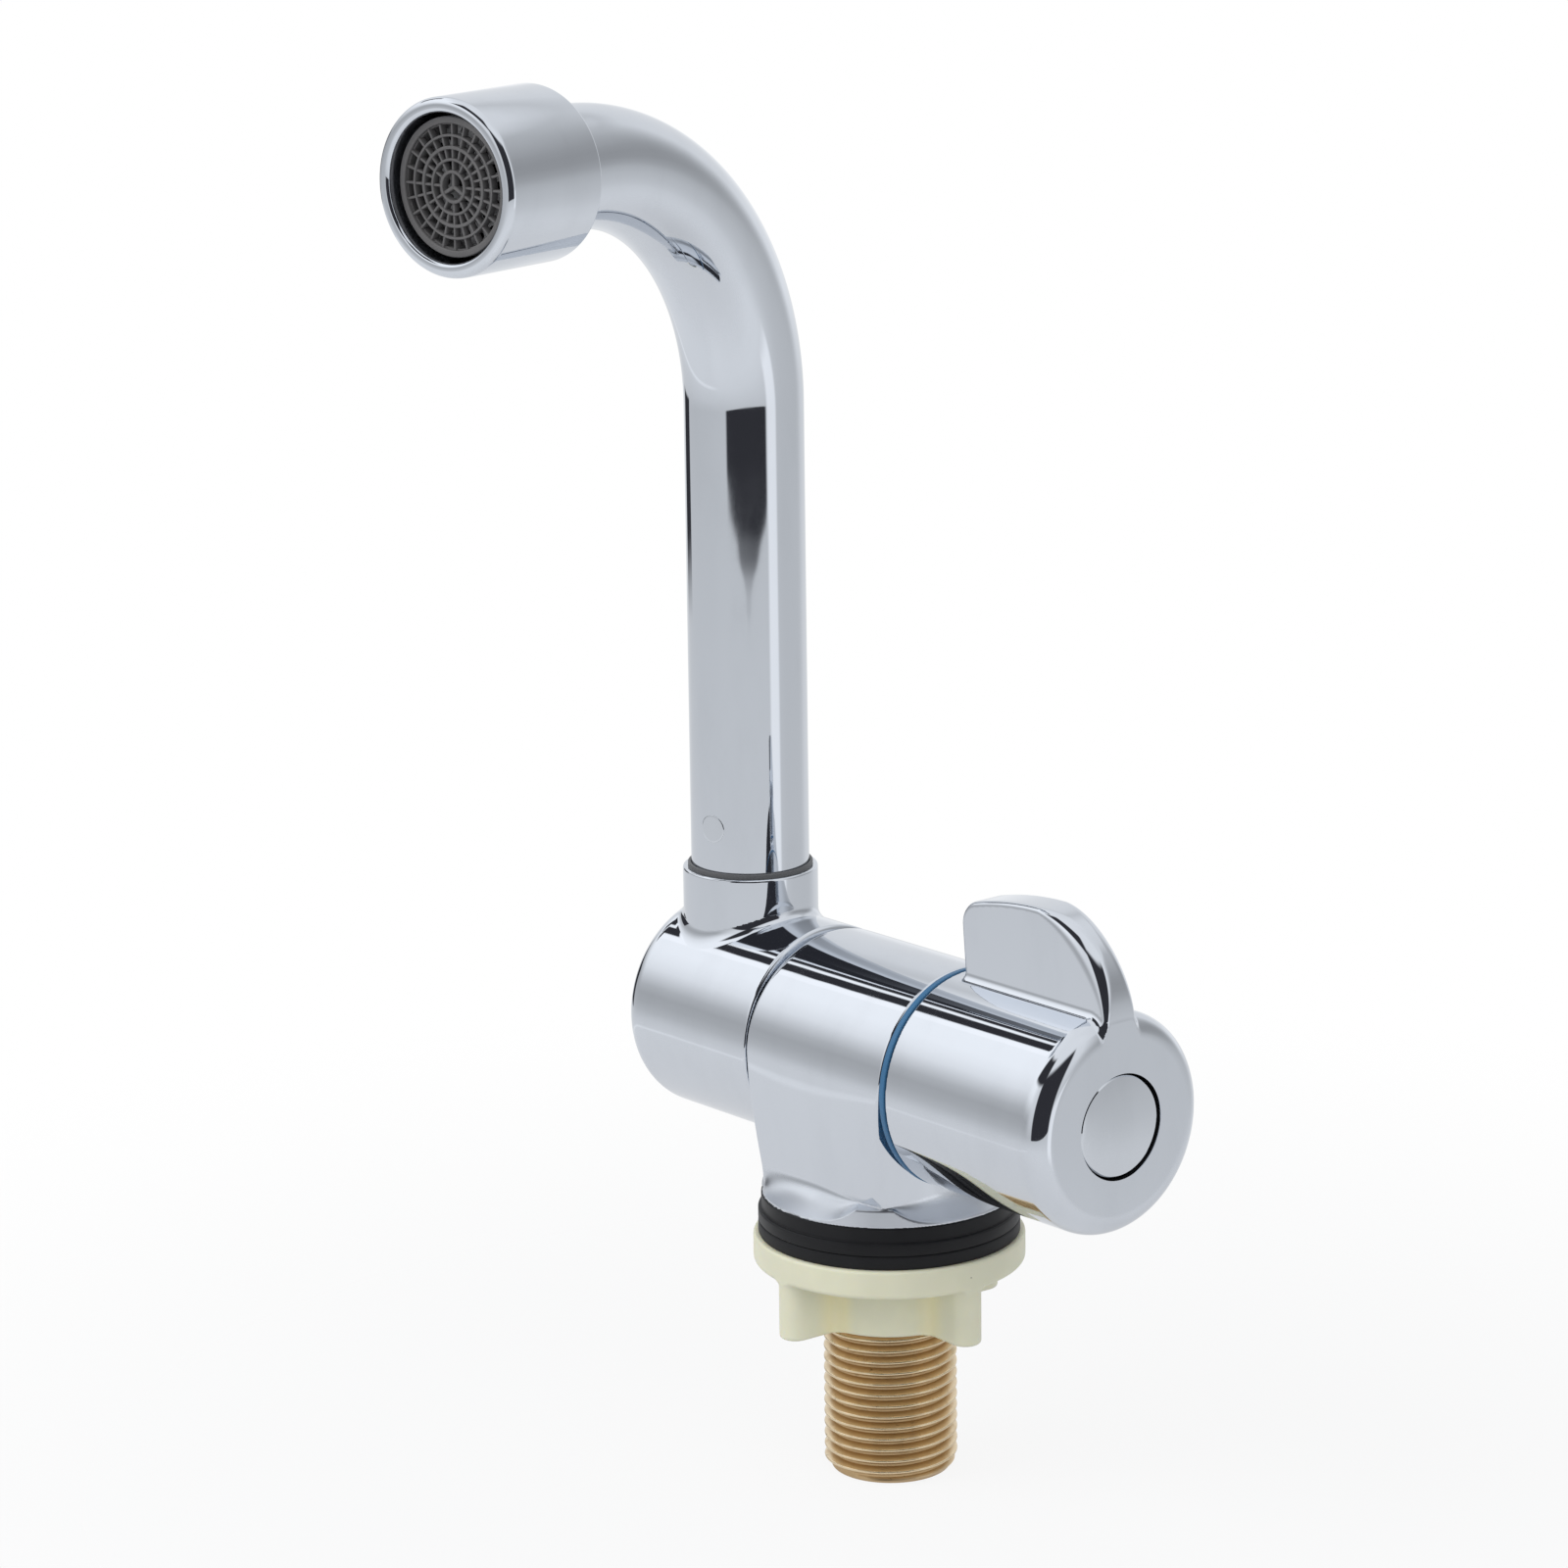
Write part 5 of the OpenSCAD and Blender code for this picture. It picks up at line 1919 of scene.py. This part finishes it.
@dataclass
class Studio:
    """A pale tent round the tap, a floor, soft lamps and the camera."""

    floor: float
    eye: Triple = (0.6211, -0.5465, 0.2815)
    right: Triple = (0.6487, 0.7609, -0.0125)
    up: Triple = (-0.1791, 0.1686, 0.9693)
    back: Triple = (0.7397, -0.6265, 0.2456)
    lens: float = 127.72
    sensor: float = 36.0
    clip: Span = (0.05, 20.0)
    floor_radius: float = 0.28
    floor_sides: int = 96
    floor_fade: Span = (0.25, 0.97)
    floor_colour: Colour = (0.66, 0.67, 0.69)
    floor_seen_white: float = 0.88
    floor_mirrored_white: float = 0.45
    plain_light: Colour = (0.50, 0.505, 0.515)
    backdrop: Colour = (0.8, 0.8, 0.8)
    strength: float = 1.25
    front: Ramp = (
        (-90.0, 0.88), (-45.0, 0.90), (-27.0, 0.88), (-21.0, 0.84), (-15.0, 0.75), (-9.0, 0.64),
        (0.0, 0.72), (20.0, 0.88), (60.0, 0.96), (90.0, 0.95))
    far_wall: Wall = Wall(-140.0, 38.0, 55.0, (
        (-90.0, 0.78), (-40.0, 0.79), (-27.0, 0.84), (-21.0, 0.86), (-15.0, 0.79), (-9.0, 0.80),
        (-3.0, 0.96), (3.0, 0.92), (9.0, 0.86), (27.0, 0.86), (33.0, 0.84), (39.0, 0.72),
        (45.0, 0.88), (60.0, 0.94), (90.0, 0.95)))
    dim_wall: Wall = Wall(148.0, 12.0, 44.0, (
        (-90.0, 0.84), (-45.0, 0.85), (-33.0, 0.82), (-27.0, 0.79), (-21.0, 0.72), (-15.0, 0.67),
        (-9.0, 0.63), (-3.0, 0.57), (3.0, 0.46), (9.0, 0.40), (15.0, 0.39), (21.0, 0.42),
        (27.0, 0.48), (39.0, 0.60), (46.0, 0.86), (90.0, 0.95)))
    near_tent: Wall = Wall(-55.0, 34.0, 60.0, (
        (-90.0, 0.82), (-33.0, 0.86), (-27.0, 0.86), (-22.4, 0.85), (-21.9, 1.0), (-21.2, 1.0),
        (-20.7, 0.82), (-15.0, 0.75), (-9.0, 0.61), (-3.0, 0.53), (3.0, 0.50), (9.0, 0.59),
        (15.0, 0.79), (21.0, 1.0), (27.0, 1.11), (33.0, 1.18), (46.0, 1.2), (60.0, 1.0),
        (90.0, 0.95)))
    glow_colour: Colour = (1.0, 1.01, 1.03)
    glows: tuple[Patch, ...] = (
        Patch(-72.8, 1.6, 2.6, 30.0, 55.0, 3.0),
        Patch(104.0, 6.0, 12.0, -22.0, -3.0, 3.0, strength=0.6))
    dark_colour: Colour = (0.03, 0.03, 0.035)
    slits: tuple[Patch, ...] = (
        Patch(-79.8, 3.2, 4.4, 28.0, 47.0, 1.0),
        Patch(-90.0, 2.6, 4.0, 28.0, 47.0, 1.0),
        Patch(-91.5, 10.5, 12.5, -12.2, 6.0, 0.5),
        Patch(-6.0, 24.0, 34.0, 37.0, 63.0, 3.0))
    door_heading: float = 54.0
    door_half: float = 36.0
    door_soft: float = 5.0
    door_spread: Span = (-12.8, -11.5)
    door_foot: Span = (-12.9, -11.9)
    door_head: Span = (42.0, 52.0)
    lamps: tuple[Lamp, ...] = (
        Lamp("key_lamp", (-0.45, -0.85, 0.85), 0.7, 5.6),
        Lamp("fill_lamp", (0.9, -0.2, 0.7), 0.8, 2.4))

    def door(self, sky: Sky) -> Value:
        """Mark the tent's dark door, which narrows to a point at its foot.

        Args:
            sky: The directions.

        Returns:
            The mark, from 0 to 1.
        """
        half = sky.height.ramp(*self.door_spread) * self.door_half
        beside = (abs(sky.heading - self.door_heading) - half).ramp(0.0, self.door_soft)
        below_head = 1.0 - sky.height.ramp(*self.door_head)
        return (1.0 - beside) * sky.height.ramp(*self.door_foot) * below_head

    def world(self) -> None:
        """Make the tent: white behind the tap, a grey and white surround in its mirrors."""
        world = bpy.data.worlds.new("studio_tent")
        bpy.context.scene.world = world
        world.use_nodes = True
        graph = Graph(world.node_tree)
        sky = Sky(graph)
        colour = sky.brightness(self.front)
        for wall in (self.far_wall, self.dim_wall, self.near_tent):
            share = sky.sector(wall.heading, wall.inner, wall.outer)
            colour = graph.blend(share, colour, sky.brightness(wall.stops))
        colour = graph.blend(sky.marked(self.glows), colour, self.glow_colour)
        dark = sky.marked(self.slits).most(self.door(sky))
        colour = graph.blend(dark, colour, self.dark_colour)
        rays = graph.node("ShaderNodeLightPath").outputs
        seen = Value(graph, rays["Is Camera Ray"]) + Value(graph, rays["Is Transmission Ray"])
        shown = graph.blend(Value(graph, rays["Is Glossy Ray"]), self.plain_light, colour)
        shown = graph.blend(seen, shown, self.backdrop)
        inputs = {"Color": shown, "Strength": self.strength}
        light = graph.node("ShaderNodeBackground", None, inputs)
        graph.node("ShaderNodeOutputWorld", None, {"Surface": light.outputs[0]})

    def ground(self) -> None:
        """Lay the pale floor under the shank's end; it fades into the white surround."""
        Workpiece.clear_selection()
        bpy.ops.mesh.primitive_circle_add(
            vertices=self.floor_sides, radius=self.floor_radius, fill_type="NGON",
            location=(0.0, 0.0, self.floor))
        floor = Workpiece(bpy.context.active_object, "studio_floor")
        material = bpy.data.materials.new("pale_floor")
        material.use_nodes = True
        graph = Graph(material.node_tree)
        x, y, _ = graph.split(graph.place())
        rim = x.hypot(y).ramp(*(self.floor_radius * share for share in self.floor_fade))
        matt = graph.node("ShaderNodeBsdfDiffuse", None, {"Color": (*self.floor_colour, 1.0)})
        inputs = {"Color": (1.0, 1.0, 1.0, 1.0), "Strength": 1.0}
        white = graph.node("ShaderNodeEmission", None, inputs)
        clear = graph.node("ShaderNodeBsdfTransparent")
        rays = graph.node("ShaderNodeLightPath").outputs
        shown = Value(graph, rays["Is Camera Ray"]) * self.floor_seen_white
        shown = shown + Value(graph, rays["Is Glossy Ray"]) * self.floor_mirrored_white
        inputs = {0: shown, 1: matt.outputs[0], 2: white.outputs[0]}
        lit = graph.node("ShaderNodeMixShader", None, inputs)
        inputs = {0: rim, 1: lit.outputs[0], 2: clear.outputs[0]}
        faded = graph.node("ShaderNodeMixShader", None, inputs)
        graph.node("ShaderNodeOutputMaterial", None, {"Surface": faded.outputs[0]})
        floor.obj.data.materials.append(material)

    def camera(self) -> None:
        """Set up the camera at the photograph's viewing angle."""
        data = bpy.data.cameras.new("camera")
        data.lens = self.lens
        data.sensor_width = self.sensor
        data.clip_start, data.clip_end = self.clip
        holder = bpy.data.objects.new("camera", data)
        bpy.context.scene.collection.objects.link(holder)
        turned = Matrix((self.right, self.up, self.back)).transposed().to_4x4()
        holder.matrix_world = Matrix.Translation(self.eye) @ turned
        bpy.context.scene.camera = holder

    def build(self) -> None:
        """Set up the whole studio."""
        self.world()
        self.ground()
        for lamp in self.lamps:
            lamp.hang()
        self.camera()
        bpy.context.scene.view_settings.view_transform = "Standard"


def main() -> None:
    """Build and dress the tap, then set up the studio."""
    logging.basicConfig(level=logging.INFO, format="%(name)s: %(message)s")
    InnerWorks().build()
    barrel = Barrel.from_frame()
    body, shank, handle = ValveBody(barrel), Shank(), Handle(barrel)
    for group in (body, shank, handle, HingeHub(barrel), Spout(barrel), BackNut()):
        group.build()
    Studio(floor=CAD_BOX[0].z).build()


if __name__ == "__main__":
    main()
